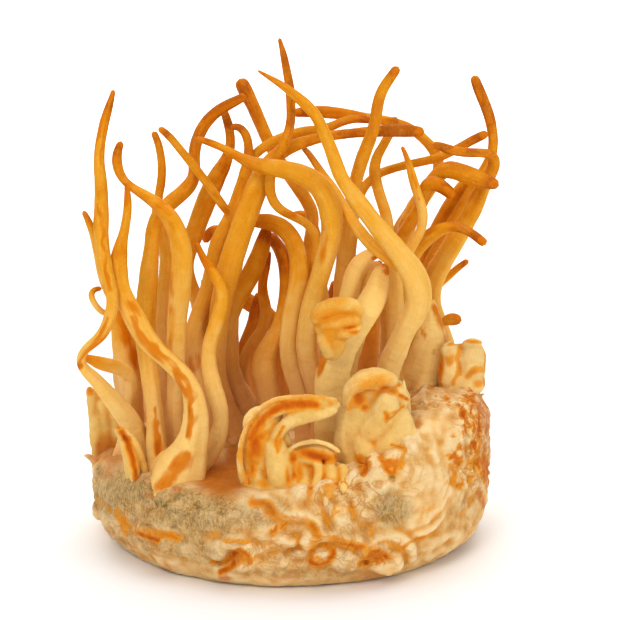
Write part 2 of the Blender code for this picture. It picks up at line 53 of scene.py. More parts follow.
GAP = 0.30                  # mm, least clearance between two pieces
FOOT_GAP = 0.55             # mm, clearance between a foot and the cake
RIM = 3.6                   # mm, how wide the cake's top edge is rounded
SIN, COS = math.sin(BOARD_LEAN), math.cos(BOARD_LEAN)
STEMS = []


def grow(name, depth, marks, foot=True, flat=1.0):
    """Notes down one stem, lobe or shoot, from its foot to its tip."""
    STEMS.append(dict(name=name, depth=depth, marks=marks, foot=foot, flat=flat))


# the same marks as the frame's stems: (across, down, width) in squares
grow("stem_left_twisted", (-15,-22,-28,-27,-24,-21,-19,-17), [(147,None,20),(144,466,17),(141,447,19),(135,430,21),(127,417,20),(117,405,18),(106,392,15),(95,379,13),(86,371,11),(80.5,364,9),(80.5,357,8),(84,351,8),(91,345,9),(99,339,10),(105,331,11),(109,321,11),(112,310,12),(113,298,11),(109,282,13),(105,267,14),(103,250,14),(101,233,14.5),(101.5,217,14.5),(101.5,200,13.5),(101,182,12.5),(99,165,10.5),(99.5,150,10),(102,133,9),(105.5,118,8.5),(110,104,7),(113.5,91,4)])
grow("shoot_left_twisted", (-23,-23,-22), [(109,297,5),(104.5,286,6.5),(100.5,272,7),(98,258,7),(95,244,6),(92,230,6.5),(88,219,6.5),(84,212,4)], foot=False)
grow("stem_front_red_tip", (-25,-27,-27,-25,-23,-22), [(180,None,30),(184,468,34),(190,450,30),(195,434,25),(196,418,22),(195,402,20),(191,388,18),(183,375,17),(173,365,16),(163,356,16),(153,347,18),(144,336,19),(137,323,19),(130,309,18),(124,296,16),(120,283,16),(119,270,16),(119,257,15),(121,246,12),(123.5,235,9),(126.5,220,8.5),(128,205,7.5),(127.5,193,6),(127,184,4)])
grow("stem_front_fork", (-21,-20,-17,-15,-14), [(192,None,18),(200,465,20),(213,445,18),(221,425,15),(219,405,16),(213,385,16),(209,365,14),(209,348,13),(214,330,13),(220,312,13),(223,296,12),(218,281,11),(209,268,9),(202,256,7),(197,244,5)])
grow("stem_long_arch", (-20,-18,-14,-9,-5,-1,3), [(160,None,15),(159,470,15),(157,445,18),(155,415,17),(152,390,18),(149,365,19),(146,340,20),(146,315,20),(148,290,19),(150,268,17),(152,248,14),(154,228,14),(161,212,14),(174,200,15),(187,189,15),(195,176,13),(194,160,12),(196,142,12),(204,125,12),(216,112,11),(230,104,10),(244,97,8)])
grow("stem_left_blunt", (-5,-4,-3,0,3), [(166,None,15),(166,430,15),(165,395,15),(163,360,15),(161,330,15),(162,300,15),(166,275,15),(167,255,15),(161,232,15),(157,215,12),(158,200,9),(161,185,9),(162,168,9),(160,150,8),(157,140,8),(154,133,6)])
grow("stem_left_hook", (-13,-15,-17,-19,-18,-16), [(177,None,17),(177,430,17),(176,400,17),(177,370,17),(177,345,18),(178,315,18),(181,290,20),(183,265,20),(181,242,19),(174,223,17),(163,209,14),(149,198,11),(134,189,8),(123,180,8),(117,166,10),(117,152,9),(121,143,6)])
grow("stem_left_stump", (-6,-7,-9,-9), [(133,None,22),(133,425,22),(132,395,23),(128,368,24),(124,342,23),(120,322,16),(117,309,7)])
grow("stem_left_elbow", (-11,-13,-17,-21), [(124,None,13),(127,420,13),(131,400,13),(133,385,12),(129,373,12),(117,367,14),(103,364,13),(92,360,10),(85,357,5)])
grow("lobe_left", (-2,-3,-4), [(110,None,26),(107,450,28),(104,430,30),(101,412,28),(97,398,22),(91,387,9)])
grow("tongue_front_left", (-21,-25,-28), [(139,None,14),(137,468,15),(131,450,16),(124,437,15),(116,428,9)])
grow("stem_left_diagonal", (4,4,2,0,-3,-8,-11), [(238,None,12),(236,420,12),(234,380,12),(233,340,12),(234,300,11),(236,265,10),(238,240,9),(234,221,8),(224,208,9),(213,192,9),(202,177,9),(190,162,9),(178,147,8),(167,134,8),(160,129,6)])
grow("stem_club", (12,10,8,7,8,8), [(307,None,13),(306,420,13),(305,380,13),(305,340,13),(305,300,13),(307,262,13),(311,238,13),(313,215,13),(304,196,13),(291,178,13),(279,160,13),(269,142,13),(261,124,13),(254,108,13),(247,94,14),(241,82,13)])
grow("stem_inner_left", (9,8,6,3,3,5,6), [(205,None,13),(204,430,13),(203,390,13),(201,350,13),(200,320,14),(197,300,14),(190,284,14),(186,268,14),(188,252,15),(193,238,17),(199,220,18),(206,202,19),(213,185,18),(221,170,16),(228,157,11),(231,143,9),(229,126,9),(224,111,7)])
grow("stem_small_crook", (-9,-11,-11,-7,-3,1,3), [(208,None,10),(207,425,11),(203,400,12),(196,376,16),(192,352,20),(196,328,21),(205,303,20),(211,280,17),(213,262,14),(218,242,15),(229,222,15),(237,203,14),(242,186,13),(247,168,11),(249,150,9),(246,134,9),(239,126,8),(232,127,6)])
grow("stem_great", (4,1,-4,-8,-8,-6,-5,-5), [(234,None,23),(229,425,25),(223,400,20),(218,375,17),(217,350,18),(218,325,20),(222,298,22),(229,268,24),(238,240,24),(247,214,23),(255,192,22),(262,174,19),(272,159,15),(287,149,13),(305,142,12),(325,137,11),(348,134,10),(372,132,11),(395,131,12),(412,131,12),(422,132,8)])
grow("stem_beside_great", (7,4,0,-1,1), [(254,None,22),(246,408,24),(236,388,21),(229,366,20),(227,342,18),(230,318,17),(238,298,18),(248,280,18),(256,262,18),(262,246,16),(266,230,11)])
grow("stem_crozier", (-6,-9,-10,-7,-2,1), [(306,None,18),(300,392,20),(293,372,20),(288,350,18),(289,328,17),(293,305,17),(298,283,18),(299,262,18),(295,243,18),(285,229,18),(272,222,17),(259,221,15),(250,222,8)])
grow("stem_behind_crozier", (0,-2,0,4,5), [(274,None,22),(268,392,24),(264,372,24),(266,353,21),(275,336,16),(281,316,12),(285,292,12),(285,268,13),(280,248,14),(270,236,11)])
grow("stem_wavy", (12,10,9,8,7), [(250,None,12),(246,392,12),(243,372,13),(245,356,13),(254,342,13),(263,328,12),(266,312,12),(263,297,11),(262,283,10),(266,268,9),(268,252,7)])
grow("stem_wavy_behind", (18,16,14), [(241,None,14),(241,392,14),(240,370,14),(243,352,14),(247,338,14),(253,325,13),(256,308,12),(259,294,7)])
grow("stem_inner_slim", (14,12,9), [(232,None,16),(231,400,18),(228,370,20),(228,345,20),(230,320,16),(234,300,12),(240,284,7)])
grow("stem_ribbed", (14,13,11,9,6,3,1,0), [(232,None,12),(232,420,12),(231,380,12),(231,340,12),(234,300,12),(238,262,12),(243,230,12),(247,200,12),(247,178,11),(252,158,10),(268,145,10),(285,137,11),(305,132,11),(323,130,10),(338,124,9),(352,119,9),(366,120,8),(374,122,5)])
grow("stem_top_spire", (5,3,1,-3,-8,-9,-8,-7), [(312,None,9),(311,400,9),(311,350,9),(311,300,9),(313,265,9),(317,243,8),(313,230,8),(303,221,8),(290,215,9),(278,208,10),(271,196,10),(270,182,10),(273,167,10),(281,152,10),(287,138,10),(291,122,9),(291,105,9),(290,88,9),(287,72,8),(284,56,7),(281,44,5),(279.5,39,3)])
grow("stem_great_hook", (-5,-9,-13,-15,-15,-14,-13), [(322,None,16),(320,420,16),(317,395,17),(312,375,20),(308,355,21),(307,335,20),(311,310,19),(318,285,19),(325,260,19),(331,238,20),(332,218,21),(328,200,21),(318,184,20),(301,174,19),(281,169,17),(262,166,14),(246,161,11),(232,153,8),(218,146,7),(205,141,7),(197,139,5)])
grow("stem_long_diagonal", (-13,-15,-18,-20,-20,-20,-19,-17), [(385,None,22),(388,372,22),(394,357,22),(401,340,21),(408,324,22),(415,312,24),(418,300,25),(417,287,25),(411,272,24),(402,259,21),(390,243,17),(378,229,14),(363,209,13),(353,196,13),(345,185,13),(339,174,13),(335,162,13),(331,150,12),(326,138,12),(321,126,11),(316,116,11),(308,107,11),(298,98,10),(288,90,8),(278,83,7),(268,77,5),(258,71,2)])
grow("stem_diagonal_twin", (-19,-19,-16,-8,1), [(397,266,10),(386,257,12),(371,245,12),(360,232,11),(350,218,11),(340,202,11),(331,187,10),(323,175,8),(316,165,7),(309,154,7),(304,149,5)], foot=False)
grow("stem_tall_kinked", (12,10,6,0,-6,-10,-10), [(342,None,14),(341,400,14),(340,360,14),(340,325,14),(340,298,13),(343,272,15),(348,248,18),(350,224,18),(352,200,13),(356,180,12),(360,165,12),(366,149,12),(372,134,11),(376,119,11),(378,104,11),(382,91,11),(390,79,10),(397,69,9)])
grow("stem_right_knob_tip", (2,0,-3,-3,0,2), [(390,None,14),(390,385,14),(391,355,14),(393,328,15),(395,302,16),(394,278,14),(390,255,12),(388,236,11),(387,219,11),(382,203,11),(377,187,11),(374,172,11),(376,158,10),(383,146,9),(390,133,9),(395,119,9)])
grow("stem_right_arch", (20,18,15,12,10,9,7,5), [(396,None,14),(396,380,14),(396,340,14),(394,300,14),(393,265,14),(396,240,14),(404,222,15),(416,205,14),(427,191,13),(436,178,11),(439,165,11),(435,152,11),(425,140,10),(411,129,10),(396,123,10),(380,120,10),(362,117,10),(342,114,12),(322,112,12),(305,112,11),(295,113,8)])
grow("stem_right_blunt", (14,11,7,2,-3,-8,-11), [(404,None,15),(404,380,15),(404,340,15),(402,300,15),(400,265,16),(403,240,17),(410,218,18),(420,200,17),(430,186,16),(438,175,15),(446,169,17),(459,172,19),(474,178,18),(487,182,14),(496,185,10)])
grow("stem_right_short", (9,7,4,0,-2,-4), [(392,None,11),(393,370,11),(393,330,11),(392,290,11),(394,262,12),(400,240,12),(410,222,12),(420,206,13),(424,192,14),(428,182,14),(438,184,14),(446,190,13),(452,195,10)])
grow("stem_right_level", (20,17,14,11,8,6,5), [(352,None,12),(351,400,12),(350,350,12),(350,300,12),(350,255,12),(352,225,11),(357,202,10),(366,184,9),(380,173,9),(398,167,9),(420,162,9),(438,158,9),(453,151,9),(466,144,9),(477,138,10),(486,134,8)])
grow("stem_right_curl", (11,8,5,3,1,-2,-6,-8), [(446,None,15),(447,345,16),(438,322,17),(431,300,19),(434,279,20),(444,260,20),(456,240,19),(467,221,18),(476,204,17),(483,188,14),(490,175,12),(495,164,12),(494,156,10),(484,153,9),(468,153,9),(452,151,9),(442,147,9),(434,145,7)])
grow("stem_far_right", (18,15,11,8,6,5,4), [(438,None,13),(436,340,13),(429,315,13),(425,290,13),(428,268,13),(438,247,13),(449,228,12),(460,210,12),(470,193,12),(480,177,12),(488,163,11),(493,148,10),(492,132,10),(489,117,11),(484,103,11),(478,89,11),(474,78,9)])
grow("stem_right_straight", (24,20,16,12,9,7), [(418,None,13),(418,360,13),(418,320,13),(420,290,14),(424,262,14),(431,240,14),(441,220,14),(451,203,14),(461,188,13),(470,178,11),(476,172,7)])
grow("stem_right_finger", (4,2,0,-4,-8,-12), [(410,None,14),(409,380,14),(408,340,14),(407,300,14),(408,272,15),(414,252,16),(425,239,15),(438,230,13),(451,226,10),(462,228,9),(473,234,9),(484,243,9)])
grow("shoot_right_spike", (-11,-11,-10,-8), [(409,252,9),(415,241,10),(421,230,10),(423,219,10),(422,208,10),(418,196,9),(414,184,9),(411,172,8),(408,162,6),(405,153,5),(402,147,3)], foot=False)
grow("stem_right_slim", (27,24,20,17), [(432,None,9),(430,360,9),(428,330,9),(428,305,9),(434,290,9),(445,279,9),(456,269,8),(467,261,6)])
grow("stump_right", (-2,-3,-3,-2), [(420,None,32),(425,372,33),(428,352,34),(431,333,30),(430,317,21),(429,302,13)])
grow("knob_right", (-4,-4,-4), [(463,None,36),(463,376,38),(463,362,42),(464,351,40),(466,344,28)], flat=0.42)
grow("stem_pale_broad", (-16,-18,-20,-20,-18), [(331,None,28),(331,395,30),(332,380,30),(335,365,29),(341,350,27),(350,335,25),(360,320,25),(369,305,25),(376,291,23),(379,278,19),(383,267,12)])
grow("stem_pale_loop", (-10,-12,-14,-14,-13), [(326,None,14),(331,380,15),(341,340,17),(348,303,18),(351,286,18),(357,268,18),(367,257,15),(378,252,10)])
grow("stem_pale_inner", (-8,-10,-12,-13,-12), [(347,None,12),(350,370,12),(358,340,12),(362,318,13),(362,300,13),(363,284,12),(369,271,11),(378,264,8)])
grow("curled_head", (-18,-20,-22,-23,-23,-22), [(334,354,12),(324,338,13),(319,324,13),(326,312,14),(340,307,14),(353,310,13),(361,319,9),(356,330,7),(345,334,6)], foot=False)
grow("ear_lobe", (-31,-31,-30,-29), [(285,None,60),(284,478,72),(283,455,80),(288,432,80),(300,413,62),(312,402,34)], flat=0.33)
grow("folded_lobe", (-27,-27,-26,-25), [(377,None,46),(376,428,54),(377,412,58),(378,396,54),(377,382,44),(375,374,24)], flat=0.45)
grow("stem_back_dark", (26,24,22,20,18), [(286,None,16),(284,400,16),(281,360,16),(276,330,17),(266,312,18),(250,303,18),(236,292,16),(226,275,12),(220,255,8)])
grow("stem_back_centre", (24,22,20,18,16), [(330,None,14),(328,400,14),(325,350,14),(322,300,14),(319,260,13),(315,230,12),(308,216,11),(299,213,8),(290,216,5)])
grow("stem_back_curl", (21,19,17,15,14), [(222,None,12),(224,400,12),(228,350,12),(231,300,12),(230,262,12),(226,240,12),(217,229,12),(209,233,10),(205,241,7)])
grow("stem_back_right_a", (5,4,3,2), [(384,None,22),(386,400,22),(388,370,20),(390,340,19),(391,315,22),(393,295,24),(396,276,21),(399,262,13)])
grow("stem_back_right_b", (28,26,24), [(366,None,24),(367,390,26),(369,350,26),(373,315,22),(377,285,14),(379,262,7)])
grow("stem_back_a", (33,31,28), [(250,None,24),(248,400,26),(246,365,24),(250,340,18),(256,315,12),(258,298,6)])
grow("stem_back_b", (31,30,27), [(200,None,24),(198,400,26),(196,365,25),(202,330,20),(205,302,13),(204,280,6)])
grow("stem_back_c", (25,24,21), [(160,None,24),(156,400,26),(152,365,25),(148,330,20),(148,302,13),(150,280,6)])
grow("stem_back_d", (15,15,13), [(135,None,20),(130,410,22),(125,380,22),(122,350,17),(124,325,11),(127,308,6)])
grow("stem_back_e", (34,33,30), [(318,None,22),(321,400,25),(326,365,24),(326,330,19),(330,302,12),(334,282,6)])
grow("shoot_right_nub", (4,3,2), [(437,328,6),(442,323,7),(448,319.5,11),(455,319,12),(459,320,9)], foot=False)
grow("shoot_left_loop", (-25,-26,-25,-24), [(107,314,5),(100,311,6),(95,304,6),(91,297,6),(90.5,291,6),(95,288.5,5),(101,288.5,4)], foot=False)


def cake_top(x, y):
    """Height of the cake's top at a place, in mm."""
    m = ((x - MOUND_AT[0]) / MOUND_SIZE[0]) ** 4 + ((y - MOUND_AT[1]) / MOUND_SIZE[1]) ** 4
    top = CAKE_TOP + MOUND_RISE / (1.0 + m)
    edge = np.clip((np.hypot(x, y) - (CAKE_RADIUS - RIM)) / RIM, 0.0, 1.0)
    return top - 4.0 * edge ** 2


def place(across, down, y):
    """The point seen at a board mark when it lies y mm behind the middle."""
    u = (across - BOARD_MIDDLE[0]) * SQUARE
    v = (BOARD_MIDDLE[1] - down) * SQUARE
    h = (v + v * y * COS / SIGHT - y * SIN) / (COS + v * SIN / SIGHT)
    d = y * COS - h * SIN
    return np.stack([BOARD_AIM[0] + u * (SIGHT + d) / SIGHT, y + 0.0 * u, BOARD_AIM[2] + h], -1)


def foot_mark(across, y):
    """How far down the board a foot at this place meets the cake."""
    z = CAKE_TOP
    for _ in range(6):
        d = y * COS - (z - BOARD_AIM[2]) * SIN
        x = BOARD_AIM[0] + (across - BOARD_MIDDLE[0]) * SQUARE * (SIGHT + d) / SIGHT
        z = float(cake_top(x, y)) + FOOT_GAP
    v = (y * SIN + (z - BOARD_AIM[2]) * COS) * SIGHT / (SIGHT + d)
    return BOARD_MIDDLE[1] - v / SQUARE


def smooth(points, steps):
    """A Catmull-Rom curve through the points, with its parameter."""
    p = np.vstack([2 * points[0] - points[1], points, 2 * points[-1] - points[-2]])
    out, par = [], []
    for i in range(1, len(p) - 2):
        for t in np.arange(steps) / steps:
            a, b, c, e = p[i - 1], p[i], p[i + 1], p[i + 2]
            out.append(0.5 * (2 * b + (c - a) * t + (2 * a - 5 * b + 4 * c - e) * t * t
                              + (3 * b - a - 3 * c + e) * t ** 3))
            par.append(i - 1 + t)
    out.append(points[-1])
    par.append(len(points) - 1.0)
    return np.array(out), np.array(par)


def trace(stem):
    """Evenly spaced samples of a stem: board marks, widths and depth."""
    marks = [list(m) for m in stem["marks"]]
    if stem["foot"]:
        marks[0][1] = foot_mark(marks[0][0], stem["depth"][0])
        while len(marks) > 3 and marks[1][1] > marks[0][1] - 10.0:
            del marks[1]
    curve, _ = smooth(np.array(marks, float), 12)
    run = np.concatenate([[0], np.cumsum(np.hypot(*np.diff(curve[:, :2], axis=0).T))]) * SQUARE
    count = max(8, int(round(run[-1] / 1.25)))
    at = np.linspace(0, run[-1], count + 1)
    even = np.stack([np.interp(at, run, curve[:, k]) for k in range(3)], -1)
    depth = np.array(stem["depth"], float)
    dense, par = smooth(depth[:, None], 10)
    y = np.interp(at / run[-1] * (len(depth) - 1), par, dense[:, 0])
    return dict(mark=even[:, :2], r=np.maximum(even[:, 2], 2.0) * SQUARE / 2, y=y,
                foot=stem["foot"], flat=stem["flat"])


def blur(a, width):
    """Smooths a row of numbers along a stem."""
    k = np.exp(-0.5 * (np.arange(-3 * width, 3 * width + 1) / width) ** 2)
    k /= k.sum()
    pad = np.pad(a, 3 * width, mode="edge")
    return np.convolve(pad, k, "valid")


def settle(runs, rounds=260):
    """Eases the stems apart from front to back until none touches."""
    owner = np.concatenate([np.full(len(r["y"]), i) for i, r in enumerate(runs)])
    index = np.concatenate([np.arange(len(r["y"])) for r in runs])
    mark = np.vstack([r["mark"] for r in runs])
    rad = np.concatenate([r["r"] for r in runs])
    thick = rad * np.concatenate([np.full(len(r["y"]), r["flat"]) for r in runs])
    y = np.concatenate([r["y"] for r in runs])
    start = np.concatenate([[0], np.cumsum([len(r["y"]) for r in runs])])
    lead = np.array([0.0, COS, -SIN])
    pairs = []
    for i in range(len(mark)):
        near = np.nonzero((owner > owner[i]) &
                          (np.hypot(*(mark - mark[i]).T) * SQUARE < (rad + rad[i] + GAP) * 1.08 + 0.3))[0]
        pairs.append(np.stack([np.full(len(near), i), near], -1))
    pairs = np.vstack(pairs)
    a, b = pairs.T
    p = place(mark[:, 0], mark[:, 1], y)
    s0 = (p[b] - p[a]) @ lead
    # which one is in front is settled once for each crossing
    sign = np.ones(len(a))
    key = owner[a] * 1000 + owner[b]
    for k in np.unique(key):
        rows = np.nonzero(key == k)[0]
        rows = rows[np.argsort(index[a[rows]], kind="stable")]
        cuts = np.nonzero(np.diff(index[a[rows]]) > 4)[0] + 1
        for part in np.split(rows, cuts):
            sign[part] = 1.0 if s0[part].sum() >= 0 else -1.0
    shift = np.zeros(len(y))
    for turn in range(rounds):
        p = place(mark[:, 0], mark[:, 1], y + shift)
        diff = p[b] - p[a]
        s = diff @ lead
        side2 = np.maximum((diff ** 2).sum(1) - s * s, 0.0)
        need_r = rad[a] + rad[b] + GAP + 0.12
        f = np.sqrt(np.maximum(1.0 - side2 / need_r ** 2, 0.0))
        need = f * (thick[a] + thick[b] + GAP + 0.12)
        lack = np.where(f > 0, need - sign * s, 0.0)
        lack = np.maximum(lack, 0.0)
        if lack.max() < 0.02:
            break
        up = np.zeros(len(y))
        dn = np.zeros(len(y))
        np.maximum.at(up, b, np.where(sign > 0, lack, 0))
        np.maximum.at(dn, a, np.where(sign > 0, lack, 0))
        np.maximum.at(up, a, np.where(sign < 0, lack, 0))
        np.maximum.at(dn, b, np.where(sign < 0, lack, 0))
        move = (up - dn) * 0.5
        for i in range(len(runs)):
            m = move[start[i]:start[i + 1]]
            soft = blur(m, 3) if turn % 3 else blur(m, 1)
            shift[start[i]:start[i + 1]] += np.where(np.abs(soft) < np.abs(m) * 0.6, 0.6 * m, soft)
            if turn % 8 == 7 and turn < rounds - 60:
                shift[start[i]:start[i + 1]] = blur(shift[start[i]:start[i + 1]], 2)
        # the whole bunch stays over the cake
        y_now = y + shift
        shift += np.clip(y_now, -33.0, 36.0) - y_now
    y = y + shift
    for i, r in enumerate(runs):
        r["y"] = y[start[i]:start[i + 1]]
    return pairs, owner, start


def fill(fn, pts):
    """A number for each point from a Blender noise function."""
    return np.fromiter((fn(Vector(p)) for p in pts), float, len(pts))


def lerp(a, b, t):
    return a + (b - a) * t


def step(lo, hi, x):
    t = np.clip((x - lo) / (hi - lo), 0.0, 1.0)
    return t * t * (3 - 2 * t)


def to_marks(p):
    """Where a point in mm falls on the drawing board."""
    h = p[:, 2] - BOARD_AIM[2]
    d = p[:, 1] * COS - h * SIN
    k = SIGHT / (SIGHT + d) / SQUARE
    return np.stack([BOARD_MIDDLE[0] + (p[:, 0] - BOARD_AIM[0]) * k,
                     BOARD_MIDDLE[1] - (p[:, 1] * SIN + h * COS) * k], -1)


def resample(p, r, spacing):
    curve, par = smooth(np.hstack([p, r[:, None]]), 6)
    run = np.concatenate([[0], np.cumsum(np.linalg.norm(np.diff(curve[:, :3], axis=0), axis=1))])
    n = max(12, int(run[-1] / spacing))
    at = np.linspace(0, run[-1], n + 1)
    out = np.stack([np.interp(at, run, curve[:, k]) for k in range(4)], -1)
    return out[:, :3], out[:, 3], at


def carried(c):
    """Crosswise directions along a curve, without twist."""
    t = np.gradient(c, axis=0)
    t /= np.linalg.norm(t, axis=1)[:, None] + 1e-12
    side = np.cross(t[0], (0.0, 1.0, 0.0))
    side /= np.linalg.norm(side) + 1e-12
    s = np.empty_like(c)
    for k in range(len(c)):
        side = side - t[k] * side.dot(t[k])
        side /= np.linalg.norm(side)
        s[k] = side
    return t, s, np.cross(t, s)


def blobs(marks, spots, near=0.45, far=1.15):
    """How strongly a list of soft oval patches covers each mark."""
    out = np.zeros(len(marks))
    for x, y, rx, ry, turn, strength in spots:
        a = math.radians(turn)
        dx, dy = marks[:, 0] - x, marks[:, 1] - y
        u = (dx * math.cos(a) + dy * math.sin(a)) / rx
        v = (-dx * math.sin(a) + dy * math.cos(a)) / ry
        out = np.maximum(out, strength * (1.0 - step(near, far, np.sqrt(u * u + v * v))))
    return out


def add_mesh(name, co, quads, tris=(), attrs=None, material=None):
    mesh = bpy.data.meshes.new(name)
    faces = [tuple(int(v) for v in f) for f in quads] + [tuple(int(v) for v in f) for f in tris]
    mesh.from_pydata((co * 0.001).tolist(), [], faces)
    mesh.validate()
    for key, values in (attrs or {}).items():
        values = np.asarray(values, np.float32)
        if values.ndim == 2:
            at = mesh.attributes.new(key, "FLOAT_VECTOR", "POINT")
            at.data.foreach_set("vector", values.ravel())
        else:
            at = mesh.attributes.new(key, "FLOAT", "POINT")
            at.data.foreach_set("value", values)
    mesh.shade_smooth()
    if material:
        mesh.materials.append(material)
    obj = bpy.data.objects.new(name, mesh)
    bpy.context.scene.collection.objects.link(obj)
    return obj


# rusty bruises, stripes and stains: stem -> (across, down, half sizes, turn, strength)
RUST = {
    "stem_front_red_tip": [(176, 466, 8, 20, 20, 1.0), (165, 483, 9, 6, 10, .9), (127, 187, 5, 9, 0, .9), (146, 343, 5, 34, -40, .75), (181, 385, 4, 22, -28, .7),
                           (190, 425, 4, 22, 4, .7), (172, 473, 9, 14, 30, .8)],
    "stem_left_twisted": [(101, 127, 3, 22, 14, .75), (93, 347, 4, 12, 55, .6), (80, 366, 4, 4, 0, 1.0), (104, 335, 5, 12, 30, .5), (104, 262, 3, 24, -12, .35)],
    "stem_left_elbow": [(120, 380, 9, 3, 6, .6)],
    "stem_left_hook": [(160, 205, 7, 5, 20, .65), (168, 212, 8, 4, 40, .6), (128, 187, 9, 3, 35, .6), (172, 228, 4, 10, -20, .35)],
    "stem_long_arch": [(157, 220, 5, 14, 10, .5), (196, 150, 4, 12, 0, .35)],
    "stem_left_diagonal": [(224, 210, 8, 4, 45, .6), (216, 196, 3, 8, -40, .45)],
    "stem_right_straight": [(446, 232, 3, 22, 28, .5)], "stem_right_curl": [(488, 183, 6, 8, 20, .4), (452, 151, 8, 3, 0, .5)],
    "stem_right_short": [(446, 190, 6, 5, 0, .6), (432, 182, 8, 3, 0, .35)], "shoot_right_nub": [(459, 316, 6, 8, 0, .7)],
    "stem_left_blunt": [(155, 134, 5, 4, 0, .6), (157, 438, 5, 26, 0, .85)],
    "stem_small_crook": [(194, 362, 9, 14, 0, .5), (205, 243, 3, 5, 0, .6)],
    "stem_front_fork": [(203, 256, 5, 12, -25, .75), (204, 415, 3, 22, -8, .8)],
    "stem_pale_broad": [(322, 362, 4, 19, 14, .9), (386, 272, 5, 4, 30, .8), (373, 264, 5, 2, 0, .6)], "stem_pale_loop": [(376, 258, 6, 3, -15, .8), (362, 278, 2, 8, 0, .45), (366, 244, 6, 3, 30, .6)], "stem_pale_inner": [(385, 270, 5, 3, -30, .7)],
    "stem_great": [(420, 132, 7, 6, 0, .7), (345, 132, 20, 4, 0, .25)],
    "stem_great_hook": [(251, 163, 10, 4, 12, .45), (201, 140, 6, 4, 15, .6)],
    "stem_club": [(243, 82, 8, 5, 0, .45), (252, 98, 3, 8, -20, .5)],
    "stem_top_spire": [(281, 46, 5, 10, 0, .45), (290, 214, 12, 5, 10, .6)],
    "stem_long_diagonal": [(259, 72, 6, 3, 0, .7)],
    "shoot_right_spike": [(403, 150, 4, 6, 0, .8)],
    "stem_right_finger": [(482, 241, 6, 6, 0, .6)],
    "stem_right_level": [(484, 135, 7, 5, 0, .6)],
    "stem_right_blunt": [(494, 184, 7, 6, 0, .6), (456, 170, 10, 3, 10, .35)],
    "stem_far_right": [(475, 80, 6, 6, 0, .5)],
    "stem_tall_kinked": [(395, 71, 7, 5, 0, .6)],
    "stem_right_arch": [(297, 113, 6, 7, 0, .6)],
    "stem_right_knob_tip": [(395, 117, 6, 4, 0, .5)],
    "stem_crozier": [(252, 222, 7, 7, 0, .55)],
    "stump_right": [(424, 336, 3, 12, -20, .55), (434, 352, 3, 8, -30, .5)],
    "lobe_left": [(90, 392, 6, 8, -20, .7), (112, 452, 9, 14, 0, .55)],
    "tongue_front_left": [(134, 462, 5, 22, 6, .9), (120, 430, 7, 5, 0, .5)],
}
# long rusty streaks that follow a stem: (strength, half width, [(across, down)...])
STREAKS = {
    "stem_front_red_tip": [(1.0, 3.2, [(128, 188), (126, 205)]), (.95, 3.6, [(133, 318), (142, 334), (153, 347), (165, 358), (177, 370), (186, 382), (190, 398), (191, 416), (188, 436)]),
                           (1.1, 7.0, [(186, 456), (178, 468), (170, 478), (160, 486)])],
    "stem_long_arch": [(1.25, 5.0, [(156, 424), (158, 438), (159, 452)]), (1.0, 2.0, [(155, 408), (156, 424)]), (.9, 1.8, [(164, 456), (160, 470)])],
    "stem_front_fork": [(.9, 2.6, [(196, 244), (203, 257), (210, 267)]), (.8, 2.4, [(204, 398), (205, 416), (208, 432)])],
    "stem_left_twisted": [(.75, 2.4, [(113, 92), (108, 112), (104, 135), (100, 165)]), (.8, 2.6, [(98, 205), (103, 232), (106, 262), (110, 290)]),
                          (.8, 2.6, [(108, 318), (101, 334), (91, 347), (82, 358), (80, 368)])],
    "stem_left_hook": [(.55, 2.6, [(160, 200), (170, 206), (178, 214)])],
    "stem_great_hook": [(.6, 2.6, [(203, 141), (222, 149), (240, 158), (258, 164)])],
    "stem_top_spire": [(.6, 1.8, [(281, 44), (284, 70), (287, 96), (289, 120)])],
    "stem_long_diagonal": [(.55, 1.8, [(262, 74), (284, 88), (302, 102)])],
    "shoot_right_spike": [(.7, 2.0, [(404, 151), (413, 176), (419, 200)])],
    "stem_right_short": [(.6, 2.5, [(428, 178), (440, 186), (450, 194)])],
    "stem_far_right": [(.5, 2.0, [(474, 80), (482, 104), (490, 130)])],
    "stem_club": [(.5, 2.4, [(246, 88), (252, 104), (258, 124)])],
}
# how deep an orange each stem is, from 0 (pale gold) to 1 (rusty orange)
DEEP = {"stem_pale_broad": -.35, "stem_pale_loop": -.25, "stem_pale_inner": -.2, "stump_right": -.45,
        "stem_front_red_tip": -.02, "stem_left_hook": 0.0, "stem_great": .22, "stem_great_hook": 0.0,
        "stem_crozier": -.05, "stem_long_arch": .20, "stem_right_arch": .10, "stem_behind_crozier": .16, "stem_beside_great": -.02,
        "stem_wavy": .14, "stem_wavy_behind": .2, "stem_back_dark": .34, "stem_inner_slim": .0, "stem_back_a": .25, "stem_back_e": .25, "stem_back_right_a": -.2, "stem_back_right_b": .25, "lobe_left": -.3, "tongue_front_left": -.2, "stem_club": .08,
        "stem_top_spire": .18, "stem_right_level": .06, "stem_far_right": .12, "stem_right_blunt": .0,
        "stem_right_short": .04, "stem_left_stump": -.28, "stem_back_d": -.15, "stem_front_fork": -.08, "stem_left_twisted": .06, "stem_tall_kinked": .0,
        "stem_inner_left": .12, "stem_left_elbow": -.30, "stem_right_finger": .03, "stem_small_crook": .06}
FLARE = {"stem_front_red_tip": 0.95, "stem_left_twisted": 0.6, "stem_front_fork": 0.7, "stem_long_arch": 0.6, "stem_crozier": 0.3,
         "stem_long_diagonal": 0.6, "stem_great": 0.5, "stem_pale_broad": 0.25, "lobe_left": 0.3, "tongue_front_left": 0.4}
# where two stems have grown into one, the nearer one is swollen
SWELL = {"stem_long_diagonal": [(352, 208, 16, .30), (370, 234, 20, .34)]}
NO_FOOT_FLARE = {"ear_lobe", "folded_lobe", "knob_right", "curled_head"}


